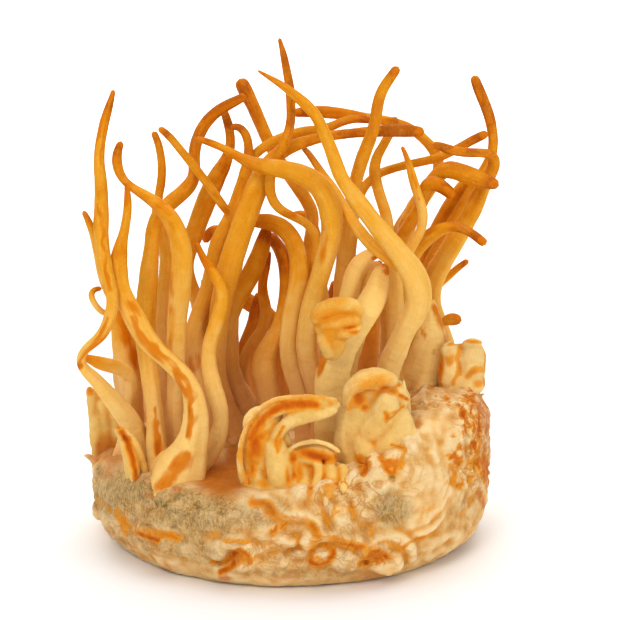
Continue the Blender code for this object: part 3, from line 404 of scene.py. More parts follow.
def stem_piece(stem, run, seed, material, sides=22, spacing=0.42):
    """A stem's fine skin: lumps, shallow ribs, wrinkles, rounded tip, flared foot."""
    p, r = run["p"].copy(), run["r"].copy()
    for x, y, reach, more in SWELL.get(stem["name"], ()):
        r = r * (1 + more * np.exp(-((run["mark"][:, 0] - x) ** 2 + (run["mark"][:, 1] - y) ** 2) / reach ** 2))
    if len(p) > 8:
        q = np.stack([blur(p[:, k], 1) for k in range(3)], -1)
        q[0], q[-1] = p[0], p[-1]
        p = q
        r = blur(r, 1)
    foot = stem["foot"]
    if foot:
        down = np.array([0.0, 0.0, -1.0]) * 0.8 + (p[0] - p[2]) / np.linalg.norm(p[0] - p[2]) * 0.5
        p = np.vstack([p[0] + down * 3.0, p[0] + down * 1.4, p])
        r = np.concatenate([[r[0] * 1.02, r[0] * 1.0], r])
    else:
        p = np.vstack([p[0] - (p[1] - p[0]) * 0.9, p])
        r = np.concatenate([[r[0]], r])
    end = p[-1] - p[-2]
    end /= np.linalg.norm(end)
    p = np.vstack([p, p[-1] + end * r[-1] * 0.55])
    r = np.concatenate([r, [r[-1] * 0.96]])
    c, rad, at = resample(p, r, spacing)
    n = len(c)
    t, s, b = carried(c)
    left = at[-1] - at
    cap = np.clip(1.0 - left / (rad * 1.15 + 1e-6), 0, 1)
    close = np.sqrt(np.clip(1.0 - cap ** 2, 0, 1))
    if not foot:
        cap0 = np.clip(1.0 - at / (rad * 1.0 + 1e-6), 0, 1)
        close = close * np.sqrt(np.clip(1.0 - cap0 ** 2, 0.02, 1))
    flare = 1.0
    if foot and stem["name"] not in NO_FOOT_FLARE:
        flare = 1.0 + FLARE.get(stem["name"], 0.45) * np.exp(-(np.clip(at - 2.6, 0, None) / 4.6) ** 1.3)
    ang = np.arange(sides) / sides * 2 * math.pi
    A, Sx = np.meshgrid(ang, at)
    total = at[-1]
    rng = np.random.default_rng(seed)
    ph = rng.uniform(0, 6.28, 8)
    # slow changes of section along the stem
    grid = np.stack([np.full(n, seed * 3.7), at * 0.055, np.zeros(n)], -1)
    n1 = fill(noise.noise, grid)
    n2 = fill(noise.noise, grid + 11.3)
    n3 = fill(noise.noise, grid * np.array([1, 3.1, 1]) + 23.1)
    n4 = fill(noise.noise, grid * np.array([1, 8.0, 1]) + 31.7)
    body = (0.085 * (0.5 + n1)[:, None] * np.cos(2 * A + ph[0] + 1.6 * n2[:, None] * 2)
            + 0.055 * np.cos(3 * A + ph[1] + 0.03 * Sx + 2.0 * n1[:, None])
            + 0.055 * n3[:, None] + 0.03 * n4[:, None])
    # shallow ribs that come and go, deeper near the foot
    along = step(total * 0.75, total * 0.1, Sx)
    rib_phase = ph[2] + 0.02 * Sx + 1.5 * n2[:, None]
    ribs = (0.030 * np.cos(5 * A + rib_phase) + 0.020 * np.cos(8 * A + ph[3] + 2.0 * n1[:, None])) * (0.45 + 0.9 * along)
    crease = -0.085 * np.exp(-((np.mod(A - ph[4] - 0.012 * Sx - 1.2 * n2[:, None], 2 * math.pi) - math.pi) / 0.26) ** 2) * (0.3 + along)
    pts = np.stack([np.cos(A) * 1.1 + seed * 2.3, np.sin(A) * 1.1, Sx * 0.42], -1).reshape(-1, 3)
    fine = fill(noise.noise, pts).reshape(n, sides)
    fine2 = fill(noise.noise, pts * np.array([2.6, 2.6, 2.2]) + 7.7).reshape(n, sides)
    radius = rad[:, None] * (1.0 + body + ribs + crease + 0.035 * fine + 0.016 * fine2)
    radius = radius * close[:, None] * (flare if np.ndim(flare) == 0 else flare[:, None])
    if foot and stem["name"] not in NO_FOOT_FLARE:
        lobes = 1.0 + 0.20 * np.exp(-np.clip(Sx - 3.0, 0, None) / 2.2) * np.cos(4 * A + ph[5])
        radius = radius * lobes
    co = c[:, None] + radius[..., None] * (np.cos(A)[..., None] * s[:, None] + np.sin(A)[..., None] * b[:, None])
    if stem["flat"] < 1.0:
        co[..., 1] = c[:, None, 1] + (co[..., 1] - c[:, None, 1]) * stem["flat"]
    flatco = co.reshape(-1, 3)
    i = np.arange(n - 1)[:, None] * sides
    q = np.arange(sides)
    q1 = (q + 1) % sides
    quads = np.stack([i + q, i + q1, i + sides + q1, i + sides + q], -1).reshape(-1, 4)
    tip = len(flatco)
    base = tip + 1
    flatco = np.vstack([flatco, c[-1] + end * 0.02, c[0] - t[0] * 0.02])
    last = (n - 1) * sides
    tris = [(last + k, last + (k + 1) % sides, tip) for k in range(sides)]
    tris += [(int((k + 1) % sides), int(k), base) for k in range(sides)]
    marks = to_marks(flatco)
    rel = np.append((Sx / total).ravel(), [1.0, 0.0])
    skin = np.stack([np.append((np.cos(A) * rad[:, None]).ravel(), [0, 0]) + seed * 5.0,
                     np.append((np.sin(A) * rad[:, None]).ravel(), [0, 0]),
                     np.append(Sx.ravel(), [total, 0.0])], -1)
    rust = blobs(marks, RUST.get(stem["name"], []))
    wob = np.append(fine.ravel(), [0, 0])
    for strength, width, line in STREAKS.get(stem["name"], []):
        d, _ = near_line(marks + np.stack([wob, -wob], -1) * 3.0, polyline(line, 5))
        rust = np.maximum(rust, strength * (1 - step(width * 0.1, width * 1.25, d * (1 + 0.9 * wob))))
    tipwise = 0.52 * step(0.45, 1.0, rel + 0.12 * wob) * (1.0 if foot else 0.8) + 0.30 * step(total - 5.0, total, np.append(Sx.ravel(), [total, 0]))
    ripe = 0.29 + DEEP.get(stem["name"], 0.03 + 0.10 * math.sin(seed * 1.9)) + tipwise - (0.30 if foot else 0.0) * (1 - step(0.02, 0.5, rel))
    ripe = ripe - 0.16 * (1 - step(4.0, 34.0, flatco[:, 2] - 20.0))
    # deeper orange in the creases and rib grooves: painted shade
    crease_shade = np.append((crease / 0.085 + 6 * np.minimum(ribs, 0)).ravel(), [0, 0])
    ripe = ripe - 0.10 * crease_shade
    tiny = step(total - 2.2, total - 0.3, np.append(Sx.ravel(), [total, 0])) * (1.0 if rad[-1] < 1.3 else 0.55)
    rust = np.maximum(rust, 0.55 * tiny)
    # a wandering rusty streak down one side
    gate = np.append(np.repeat(step(0.02, 0.30, fill(noise.noise, grid * np.array([1, 1.7, 1]) + 51.0)), sides), [0, 0])
    turn = np.append((np.abs(np.mod(A - ph[6] - 1.9 * n2[:, None] + math.pi, 2 * math.pi) - math.pi)).ravel(), [3, 3])
    streak = gate * (1 - step(0.15, 0.85, turn)) * (0.35 + 0.35 * step(0.2, 0.9, rel))
    rust = np.maximum(rust, streak)
    rust = np.clip(rust * (0.8 + 0.6 * wob), 0, 1)
    # the inner field marks the low stems inside the bunch, where the flesh material paints light and shade
    return add_mesh(stem["name"] + "_skin", flatco, quads, tris,
                    {"inner": np.clip((1 - step(3.0, 30.0, flatco[:, 2] - 20.0)) * step(-24.0, -6.0, flatco[:, 1]), 0, 1), "ripe": np.clip(ripe, 0, 1.2), "rust": rust, "skin": skin * 0.001}, material)


# ------------------------------------------------------------- cake and lobes
WALL = [(CAKE_FOOT_RADIUS, 0.0), (36.8, 2.2), (39.2, 6.2), (CAKE_RADIUS, 11.5)]

# folds of the cake's skin on the front: (groove depth mm, rolled rim radius mm,
# side of the rim, half width in squares, strength of the orange along the fold (painted shade on the rows marked so, a
# stain on the rest), [(across, down)...])
FOLDS = [
    (0.9, 0.5, 1, 4.0, .75, [(117, 510), (120, 522), (127, 535)]),
    (0.9, 0.9, -1, 4.0, 1.3, [(137, 533), (147, 537), (158, 541)]),
    (0.5, 0.0, 1, 3.0, .50, [(98, 497), (112, 512), (124, 526), (140, 530), (156, 532)]),
    (0.6, 0.0, 1, 5.0, .70, [(160, 534), (170, 535), (178, 539)]),
    (0.5, 0.4, 1, 3.5, .35, [(132, 543), (140, 553), (147, 562)]),
    (0.7, 0.6, -1, 3.0, .55, [(222, 539), (235, 539), (250, 540)]),
    (1.2, 0.0, 1, 5.0, 1.3, [(212, 564), (224, 562), (232, 556), (238, 550), (245, 553), (249, 561)]),
    (1.0, 0.5, 1, 4.5, 1.3, [(221, 573), (230, 568), (237, 560)]),
    (0.0, 0.8, 1, 3.0, .10, [(209, 556), (211, 547), (220, 543), (234, 542), (246, 543), (251, 551), (250, 562), (243, 569)]),
    (0.7, 0.6, -1, 6.5, .85, [(254, 502), (268, 505), (277, 517), (290, 521), (304, 521), (314, 528), (318, 538)]),
    (1.0, 0.0, 1, 3.0, .45, [(298, 536), (298, 546), (291, 550)]),
    (0.9, 0.0, 1, 3.0, .45, [(298, 546), (306, 549), (314, 547)]),
    (0.7, 0.5, -1, 4.0, .45, [(250, 561), (260, 553), (274, 549), (290, 550)]),
    (0.5, 0.3, -1, 3.0, .40, [(262, 547), (270, 544), (278, 541)]),
    (1.1, 0.9, 1, 4.5, 1.25, [(333, 553), (326, 562), (318, 566), (311, 561), (311, 552), (318, 547), (328, 547), (333, 551)]),
    # painted shade: the orange-brown along the groove under the flap
    (1.3, 0.9, -1, 5.0, .85, [(313, 545), (326, 540), (340, 541), (352, 545), (364, 547)]),
    # painted shade: the deep orange-brown in the pocket of the curl
    (1.2, 0.9, -1, 4.5, 1.2, [(366, 562), (369, 555), (377, 551), (386, 555)]),
    (0.5, 0.9, -1, 3.0, .50, [(364, 556), (369, 548), (380, 543), (394, 542), (404, 549), (405, 560)]),
    (0.9, 0.3, 1, 4.0, .50, [(371, 527), (371, 540), (365, 552), (360, 563)]),
    (0.8, 0.0, 1, 3.5, .45, [(352, 500), (353, 514), (361, 526)]),
    (1.3, 0.9, -1, 5.0, 1.0, [(340, 466), (348, 457), (360, 455), (368, 464), (364, 473)]),
    (1.0, 0.0, 1, 5.0, 1.0, [(381, 458), (387, 468), (391, 477)]),
    (0.7, 0.3, 1, 3.0, .85, [(394, 444), (405, 450), (400, 460), (393, 474)]),
    (0.9, 0.3, -1, 4.0, .8, [(315, 452), (316, 466), (313, 480), (309, 493)]),
    (0.9, 0.3, 1, 3.5, .8, [(338, 458), (337, 472), (336, 484)]),
    (0.7, 0.2, 1, 3.0, .7, [(342, 472), (344, 482), (347, 487)]),
    (0.7, 0.2, 1, 3.0, .7, [(320, 492), (320, 506), (326, 518)]),
    (0.6, 0.3, -1, 3.0, .55, [(331, 521), (338, 513), (350, 509)]),
    (0.5, 0.0, 1, 3.0, .5, [(335, 500), (334, 512)]),
    (0.4, 0.0, 1, 2.2, .75, [(403, 547), (412, 540), (425, 536), (437, 534)]),
    # painted shade: the brown band along this crease
    (0.6, 0.0, 1, 4.0, .25, [(408, 531), (426, 524), (440, 511), (448, 497)]),
    (0.5, 0.4, 1, 3.0, .20, [(424, 492), (430, 478), (432, 462), (427, 450)]),
    (0.7, 0.5, -1, 3.2, .35, [(446, 402), (433, 404), (425, 396), (430, 387), (441, 386), (448, 393)]),
    (0.9, 0.0, 1, 3.0, .95, [(384, 410), (386, 422)]),
    (0.8, 0.2, 1, 3.0, .8, [(386, 424), (396, 420), (404, 410), (414, 408)]),
    (0.7, 0.0, 1, 2.5, .8, [(450, 466), (455, 472), (453, 482), (460, 487)]),
    (0.7, 0.2, 1, 3.0, .6, [(470, 470), (476, 455), (480, 440), (479, 425)]),
    (0.5, 0.2, 1, 3.0, .4, [(462, 515), (470, 504), (478, 490)]),
    (0.5, 0.3, -1, 3.0, .3, [(440, 500), (443, 488), (450, 480)]),
    (0.5, 0.2, 1, 3.0, .3, [(150, 545), (165, 556), (185, 560)]),
    (0.5, 0.2, 1, 3.0, .3, [(410, 556), (430, 552), (450, 540)]),
]
# rounded swellings on the front: (across, down, half sizes, turn, height mm)
CRUMBS = [(478, 386, 6), (484, 394, 5), (481, 404, 6), (486, 412, 5), (485, 421, 5), (489, 431, 5), (488, 443, 6), (491, 452, 5), (490, 462, 5),
          (489, 472, 6), (491, 487, 6), (489, 495, 6), (486, 503, 5), (470, 389, 6), (462, 392, 5), (94, 487, 6), (98, 522, 6), (105, 536, 6),
          (118, 546, 7), (128, 553, 6), (143, 561, 8), (160, 567, 7), (176, 571, 7), (222, 580, 7), (262, 578, 6), (352, 574, 6), (382, 571, 7), (84, 470, 5)]
SWELLS = [
    (219, 552, 10, 9, 0, 2.1), (242, 561, 8, 9, 0, 1.2), (284, 541, 15, 9, 0, 1.9), (310, 540, 11, 11, 0, 1.9),
    (322, 555, 6, 6, 0, 1.3), (345, 560, 16, 12, 0, 1.0), (385, 560, 18, 13, 0, 1.8), (425, 500, 26, 40, 18, 1.6),
    (352, 470, 12, 14, 0, 1.3), (376, 475, 16, 26, 10, 1.1), (400, 440, 22, 20, 0, 1.0), (440, 396, 12, 12, 0, .9),
    (456, 440, 14, 24, 0, .7), (300, 480, 9, 24, 0, .9), (326, 480, 8, 24, 0, 1.0), (150, 546, 22, 12, 30, .9),
    (265, 530, 14, 12, 0, .9), (240, 515, 40, 14, 0, .5), (180, 520, 46, 12, 0, .5), (105, 525, 12, 20, -30, .9),
    (92, 470, 8, 10, 0, 1.0), (340, 525, 14, 10, 0, .8), (445, 545, 26, 12, -30, .8), (470, 430, 10, 16, 0, .7)]
# patches of colour on the front: (across, down, half sizes, turn, strength)
ORANGE = [(460, 412, 6, 7, 0, 1.2), (470, 396, 6, 3, -30, 1.2), (472, 408, 2.5, 10, 5, 1.3), (479, 426, 3, 18, 3, 1.2), (474, 446, 3, 12, -8, 1.1),
    (466, 428, 2, 12, 0, 1.0), (446, 398, 5, 2, -20, .9), (434, 392, 2, 6, 20, .8), (480, 462, 3, 14, 8, .9), (462, 452, 2, 8, 20, .8),
    (277, 532, 4, 9, 35, 1.0), (284, 526, 6, 3, -30, .9), (262, 400, 4, 3, 0, .5), (376, 557, 10, 5, 10, .9), (362, 462, 8, 9, 0, .9),
          (392, 463, 14, 8, 0, .95), (457, 460, 6, 7, 0, 1.0), (456, 482, 7, 4, 10, 1.0), (450, 458, 4, 3, 0, .7), (484, 470, 5, 18, -5, .8), (459, 412, 4, 8, -25, 1.0), (473, 425, 4, 12, -15, .9), (466, 399, 10, 5, 20, .6), (470, 393, 8, 4, 0, .8),
          (455, 436, 6, 4, 0, .6), (385, 418, 5, 9, 0, .9), (405, 405, 12, 6, -20, .6), (300, 462, 12, 10, 0, .7),
          (292, 475, 6, 12, 10, .5), (330, 490, 8, 14, 0, .5), (316, 560, 8, 8, 0, .6), (236, 556, 9, 8, 30, .7),
          (168, 535, 10, 5, 10, .7), (123, 522, 6, 12, -15, .55), (150, 538, 9, 4, 20, .6), (475, 462, 9, 6, -20, .6),
          (471, 476, 10, 6, 0, .5), (345, 400, 6, 10, 0, .3), (325, 540, 14, 5, 5, .35), (352, 544, 14, 5, 10, .4),
          (430, 508, 20, 5, -30, .25), (342, 507, 9, 4, -20, .4), (272, 512, 12, 6, 35, .7), (395, 545, 14, 5, 5, .45)]
CRUST = [(478, 400, 8, 14, 0, .8), (484, 410, 6, 16, 0, .9), (470, 396, 8, 6, 0, .6), (486, 430, 6, 40, 2, .8), (487, 475, 5, 22, -4, 1.0), (483, 500, 5, 14, -25, .9), (482, 396, 7, 10, 0, .8),
         (226, 579, 8, 3, 0, .8), (170, 568, 16, 3, 8, .6), (285, 577, 20, 4, 0, .5), (370, 575, 14, 3, 0, .5),
         (414, 429, 5, 9, 30, .8), (412, 415, 8, 10, 0, .55), (92, 458, 10, 6, 0, .5), (104, 470, 16, 8, 0, .35),
         (140, 560, 10, 4, 20, .4), (150, 496, 8, 4, 0, .4), (173, 489, 12, 4, -10, .55)]
MOULD = [(100, 470, 7, 9, 0, .9), (130, 490, 34, 14, 12, .55), (160, 503, 12, 6, 0, .8), (175, 509, 10, 4, 0, .85),
         (207, 506, 14, 5, 5, .6), (146, 500, 7, 5, 0, .7), (190, 497, 34, 8, 8, .5), (225, 525, 8, 4, 0, .5),
         (195, 518, 40, 12, 8, .35), (392, 510, 20, 22, 0, .6), (391, 478, 5, 4, 0, .9), (105, 500, 14, 20, -30, .4),
         (392, 500, 12, 14, 0, .35), (458, 505, 16, 10, -30, .25)]
VEINS = [(345, 492, 56, 52, 0, 1.0), (472, 440, 26, 84, 0, 1.0), (440, 398, 46, 20, 0, 1.0), (320, 552, 120, 28, 0, .8), (235, 555, 40, 22, 0, .7),
         (130, 535, 46, 22, 20, .8), (405, 470, 30, 44, 0, .5), (300, 515, 60, 20, 0, .5)]
PLEATS = [(340, 500, 60, 50, 0, .9), (300, 545, 60, 30, 0, .6), (400, 440, 50, 50, 0, .7), (470, 440, 26, 70, 0, 1.3), (445, 400, 50, 20, 0, 1.1),
          (150, 555, 40, 18, 20, .8), (110, 530, 26, 26, 0, .8), (390, 560, 40, 16, 0, .5), (235, 565, 36, 18, 0, .5)]
TAN = [(140, 498, 76, 40, 12, 1.0), (205, 512, 70, 34, 0, 1.0), (250, 512, 50, 20, 0, .8), (170, 545, 80, 20, 12, .8), (350, 530, 50, 14, 0, .35),
       (392, 508, 26, 26, 0, .7), (300, 572, 90, 7, 0, .6), (460, 520, 30, 20, -50, .3), (410, 415, 12, 16, 0, .5), (110, 540, 20, 20, 0, .5)]
VELVET = [(222, 478, 34, 24, 0, 1.0), (235, 462, 14, 26, 0, 1.0), (112, 446, 16, 26, 0, .8), (330, 435, 14, 16, 0, .4)]


def inside(p):
    """True where a point in mm lies in the plain cake."""
    rho = np.hypot(p[:, 0], p[:, 1])
    lim = np.interp(p[:, 2], [z for _, z in WALL], [r for r, _ in WALL])
    return (p[:, 2] > 0) & (rho < lim) & (p[:, 2] < cake_top(p[:, 0], p[:, 1]))


def front_of_cake(across, down):
    """Where board marks fall on the plain cake's front."""
    across, down = np.asarray(across, float), np.asarray(down, float)
    lo = np.full(across.shape, -60.0)
    hi = np.full(across.shape, 36.0)
    for y in np.arange(-44.0, 36.0, 0.5):
        hit = inside(place(across, down, np.full(across.shape, y)))
        hi = np.where(hit & (y < hi), y, hi)
    return place(across, down, hi)


def polyline(marks, n=14):
    c, _ = smooth(np.array(marks, float), n)
    return c


def near_line(marks, line):
    """Distance from marks to a polyline, and its sign across it."""
    best = np.full(len(marks), 1e9)
    side = np.zeros(len(marks))
    for a, b in zip(line[:-1], line[1:]):
        ab = b - a
        t = np.clip(((marks - a) @ ab) / (ab @ ab + 1e-9), 0, 1)
        off = marks - (a + t[:, None] * ab)
        d = np.hypot(off[:, 0], off[:, 1])
        s = ab[0] * off[:, 1] - ab[1] * off[:, 0]
        side = np.where(d < best, np.sign(s), side)
        best = np.minimum(best, d)
    return best, side


def domes(marks, swells):
    out = np.zeros(len(marks))
    for x, y, rx, ry, turn, h in swells:
        a = math.radians(turn)
        dx, dy = marks[:, 0] - x, marks[:, 1] - y
        u = (dx * math.cos(a) + dy * math.sin(a)) / rx
        v = (-dx * math.sin(a) + dy * math.cos(a)) / ry
        q = np.clip(1 - (u * u + v * v), 0, 1)
        out = np.maximum(out, h * np.sqrt(q) * step(0, .25, q)) if h > 0 else out
    return out


def grains(p, size, seed):
    """Rounded swellings of the grain under the skin, 0 at their seams."""
    out = np.empty(len(p))
    for k, q in enumerate(p):
        d, _ = noise.voronoi(Vector(q / size + seed))
        out[k] = d[1] - d[0]
    return out


def cake_body():
    """The cake's closed skin with its swellings and folds, before remeshing."""
    sectors = 520
    prof = [(r, z) for r, z in zip(np.linspace(2, 31, 14), np.zeros(14))]
    heights = np.concatenate([np.linspace(0, 11.5, 26)])
    wall_z = [z for _, z in WALL]
    wall_r = [r for r, _ in WALL]
    th = np.arange(sectors) / sectors * 2 * math.pi
    rows = [np.stack([r * np.cos(th), r * np.sin(th), np.zeros(sectors)], -1) for r, _ in prof]
    for z in heights:
        f = z / 11.5
        r = CAKE_FOOT_RADIUS + 7.0 * math.sqrt(1 - (1 - f) ** 2.4)
        rows.append(np.stack([r * np.cos(th), r * np.sin(th), np.full(sectors, z)], -1))
    rim = cake_top(CAKE_RADIUS * np.cos(th), CAKE_RADIUS * np.sin(th))
    for f in np.linspace(0, 1, 24)[1:]:
        rows.append(np.stack([CAKE_RADIUS * np.cos(th), CAKE_RADIUS * np.sin(th), lerp(11.5, rim, f)], -1))
    for r in np.concatenate([np.linspace(39.8, 36.0, 10), np.linspace(35.4, 1.2, 58)]):
        x, y = r * np.cos(th), r * np.sin(th)
        rows.append(np.stack([x, y, cake_top(x, y)], -1))
    co = np.stack(rows)
    n = len(rows)
    i = np.arange(n - 1)[:, None] * sectors
    q = np.arange(sectors)
    quads = np.stack([i + q, i + (q + 1) % sectors, i + sectors + (q + 1) % sectors, i + sectors + q], -1).reshape(-1, 4)
    flat = co.reshape(-1, 3)
    # outward direction from neighbouring rows
    du = np.roll(co, -1, 1) - np.roll(co, 1, 1)
    dv = np.gradient(co, axis=0)
    nor = np.cross(du, dv)
    nor /= np.linalg.norm(nor, axis=2)[..., None] + 1e-12
    nor = nor.reshape(-1, 3)
    marks = to_marks(flat)
    front = step(0.05, 0.35, -(nor @ np.array([0.0, COS, -SIN]))) * (flat[:, 1] < 6)
    lift = domes(marks, SWELLS) * front
    side_face = step(0.0, 0.5, np.hypot(nor[:, 0], nor[:, 1]))
    seams = grains(flat, 7.5, 3.1)
    small = grains(flat, 3.6, 9.4)
    big = fill(noise.noise, flat / 14.0)
    mid = fill(noise.noise, flat / 5.0 + 5.0)
    rough = side_face * (1.0 - 0.55 * front)
    lift += rough * (1.5 * (np.minimum(seams, 0.5) - 0.25) + 0.5 * (np.minimum(small, 0.4) - 0.2))
    lift += 0.9 * big * (0.4 + 0.6 * side_face) + 0.45 * mid
    for depth, rim_r, side, width, _, line in FOLDS:
        box = polyline(line)
        near = np.nonzero((front > 0.02) & (np.abs(marks[:, 0] - box[:, 0].mean()) < np.ptp(box[:, 0]) / 2 + 16)
                          & (np.abs(marks[:, 1] - box[:, 1].mean()) < np.ptp(box[:, 1]) / 2 + 16))[0]
        if len(near) == 0:
            continue
        d, s = near_line(marks[near], box)
        lift[near] -= depth * 1.15 * np.exp(-(d / (width * 0.62)) ** 2) * front[near]
    # folded, wrinkled skin in the middle and the crumbling right-hand edge
    warp = np.stack([fill(noise.noise, flat / 6.0 + 41.0), fill(noise.noise, flat / 6.0 + 43.0), fill(noise.noise, flat / 6.0 + 47.0)], -1)
    pleat = 1 - np.abs(2.0 * fill(noise.noise, (flat * np.array([1.6, 1.6, 0.75]) + 3.2 * warp) / 4.2 + 13.0))
    pleat2 = 1 - np.abs(2.0 * fill(noise.noise, (flat + 2.0 * warp) / 2.1 + 17.0))
    pleated = blobs(marks, PLEATS) * front
    lift += pleated * (0.75 * (pleat - 0.55) + 0.35 * (pleat2 - 0.6)) + (0.25 + 0.3 * rough) * (pleat2 - 0.65) * side_face
    lift = np.clip(lift, -2.2, 1.9)
    low = step(0.0, 2.5, flat[:, 2])
    flat = flat + nor * (lift * low)[:, None]
    flat[:, 2] = np.maximum(flat[:, 2], 0.0)
    base = len(flat)
    flat = np.vstack([flat, [0, 0, 0], [0, 0, float(cake_top(0.0, 0.0))]])
    last = (n - 1) * sectors
    tris = [(int((k + 1) % sectors), int(k), base) for k in range(sectors)]
    tris += [(last + k, last + (k + 1) % sectors, base + 1) for k in range(sectors)]
    return flat, quads, tris


def roll(marks, depth, widths, flat=1.0, sides=14):
    """A closed rounded roll along board marks at given depths (mm)."""
    m = np.array(marks, float)
    d = np.interp(np.linspace(0, 1, len(m)), np.linspace(0, 1, len(depth)), depth)
    w = np.interp(np.linspace(0, 1, len(m)), np.linspace(0, 1, len(widths)), widths)
    p = place(m[:, 0], m[:, 1], d)
    return roll_at(p, w * SQUARE / 2, flat, sides)


def roll_at(p, r, flat=1.0, sides=14):
    c, rad, at = resample(p, r, 0.4)
    t, s, b = carried(c)
    left = np.minimum(at, at[-1] - at)
    rad = rad * np.sqrt(np.clip(1 - np.clip(1 - left / (rad + 1e-6), 0, 1) ** 2, 0.01, 1))
    a = np.arange(sides) / sides * 2 * math.pi
    co = c[:, None] + rad[:, None, None] * (np.cos(a)[None, :, None] * s[:, None] + np.sin(a)[None, :, None] * b[:, None])
    if flat < 1:
        co[..., 1] = c[:, None, 1] + (co[..., 1] - c[:, None, 1]) * flat
    n = len(c)
    i = np.arange(n - 1)[:, None] * sides
    q = np.arange(sides)
    quads = np.stack([i + q, i + (q + 1) % sides, i + sides + (q + 1) % sides, i + sides + q], -1).reshape(-1, 4)
    co = np.vstack([co.reshape(-1, 3), c[0], c[-1]])
    k0, k1 = n * sides, n * sides + 1
    tris = [(int((k + 1) % sides), int(k), k0) for k in range(sides)]
    tris += [((n - 1) * sides + k, (n - 1) * sides + (k + 1) % sides, k1) for k in range(sides)]
    return co, quads, tris


def ball(across, down, depth, rx, ry, thick, turn=0.0, power=2.0):
    """A flattened ball facing the front: half sizes in squares, thickness in mm."""
    c = place(np.array([across]), np.array([down]), np.array([depth]))[0]
    nu, nv = 36, 20
    th, ph = np.meshgrid(np.arange(nu) / nu * 2 * math.pi, np.linspace(-math.pi / 2, math.pi / 2, nv + 2)[1:-1])
    f = lambda v: np.sign(v) * np.abs(v) ** (2.0 / power)
    X = f(np.cos(th)) * f(np.cos(ph)) * rx * SQUARE
    Z = f(np.sin(th)) * f(np.cos(ph)) * ry * SQUARE
    Y = np.sin(ph) * thick
    a = math.radians(-turn)
    co = np.stack([c[0] + X * math.cos(a) - Z * math.sin(a), c[1] + Y, c[2] + X * math.sin(a) + Z * math.cos(a)], -1)
    i = np.arange(nv - 1)[:, None] * nu
    q = np.arange(nu)
    quads = np.stack([i + q, i + nu + q, i + nu + (q + 1) % nu, i + (q + 1) % nu], -1).reshape(-1, 4)
    flat = co.reshape(-1, 3)
    k = len(flat)
    flat = np.vstack([flat, c - [0, thick, 0], c + [0, thick, 0]])
    tris = [(int((j + 1) % nu), k, int(j)) for j in range(nu)]
    tris += [((nv - 1) * nu + j, k + 1, (nv - 1) * nu + (j + 1) % nu) for j in range(nu)]
    return flat, quads, tris


def merged(name, parts, voxel, passes=2):
    """Joins closed shapes into one skin and returns it as a mesh object."""
    bm = bmesh.new()
    for co, quads, tris in parts:
        vs = [bm.verts.new(v * 0.001) for v in co]
        for f in list(quads) + list(tris):
            try:
                bm.faces.new([vs[int(j)] for j in f])
            except ValueError:
                pass
    bmesh.ops.recalc_face_normals(bm, faces=bm.faces[:])
    mesh = bpy.data.meshes.new(name)
    bm.to_mesh(mesh)
    bm.free()
    obj = bpy.data.objects.new(name, mesh)
    bpy.context.scene.collection.objects.link(obj)
    mod = obj.modifiers.new("skin", "REMESH")
    mod.mode = "VOXEL"
    mod.voxel_size = voxel * 0.001
    mod.adaptivity = 0.0
    deps = bpy.context.evaluated_depsgraph_get()
    new = bpy.data.meshes.new_from_object(obj.evaluated_get(deps))
    obj.modifiers.clear()
    old = obj.data
    obj.data = new
    new.name = name
    bpy.data.meshes.remove(old)
    return obj


def mesh_arrays(mesh):
    co = np.empty(len(mesh.vertices) * 3)
    mesh.vertices.foreach_get("co", co)
    e = np.empty(len(mesh.edges) * 2, int)
    mesh.edges.foreach_get("vertices", e)
    return co.reshape(-1, 3) * 1000.0, e.reshape(-1, 2)


def relax(co, e, passes, amount=0.5):
    deg = np.bincount(e.ravel(), minlength=len(co)).astype(float)[:, None]
    for _ in range(passes):
        s = np.zeros_like(co)
        for k in range(3):
            s[:, k] = np.bincount(e[:, 0], co[e[:, 1], k], len(co)) + np.bincount(e[:, 1], co[e[:, 0], k], len(co))
        co = co + amount * (s / np.maximum(deg, 1) - co)
    return co


def normals(mesh):
    n = np.empty(len(mesh.vertices) * 3)
    mesh.vertex_normals.foreach_get("vector", n)
    return n.reshape(-1, 3)


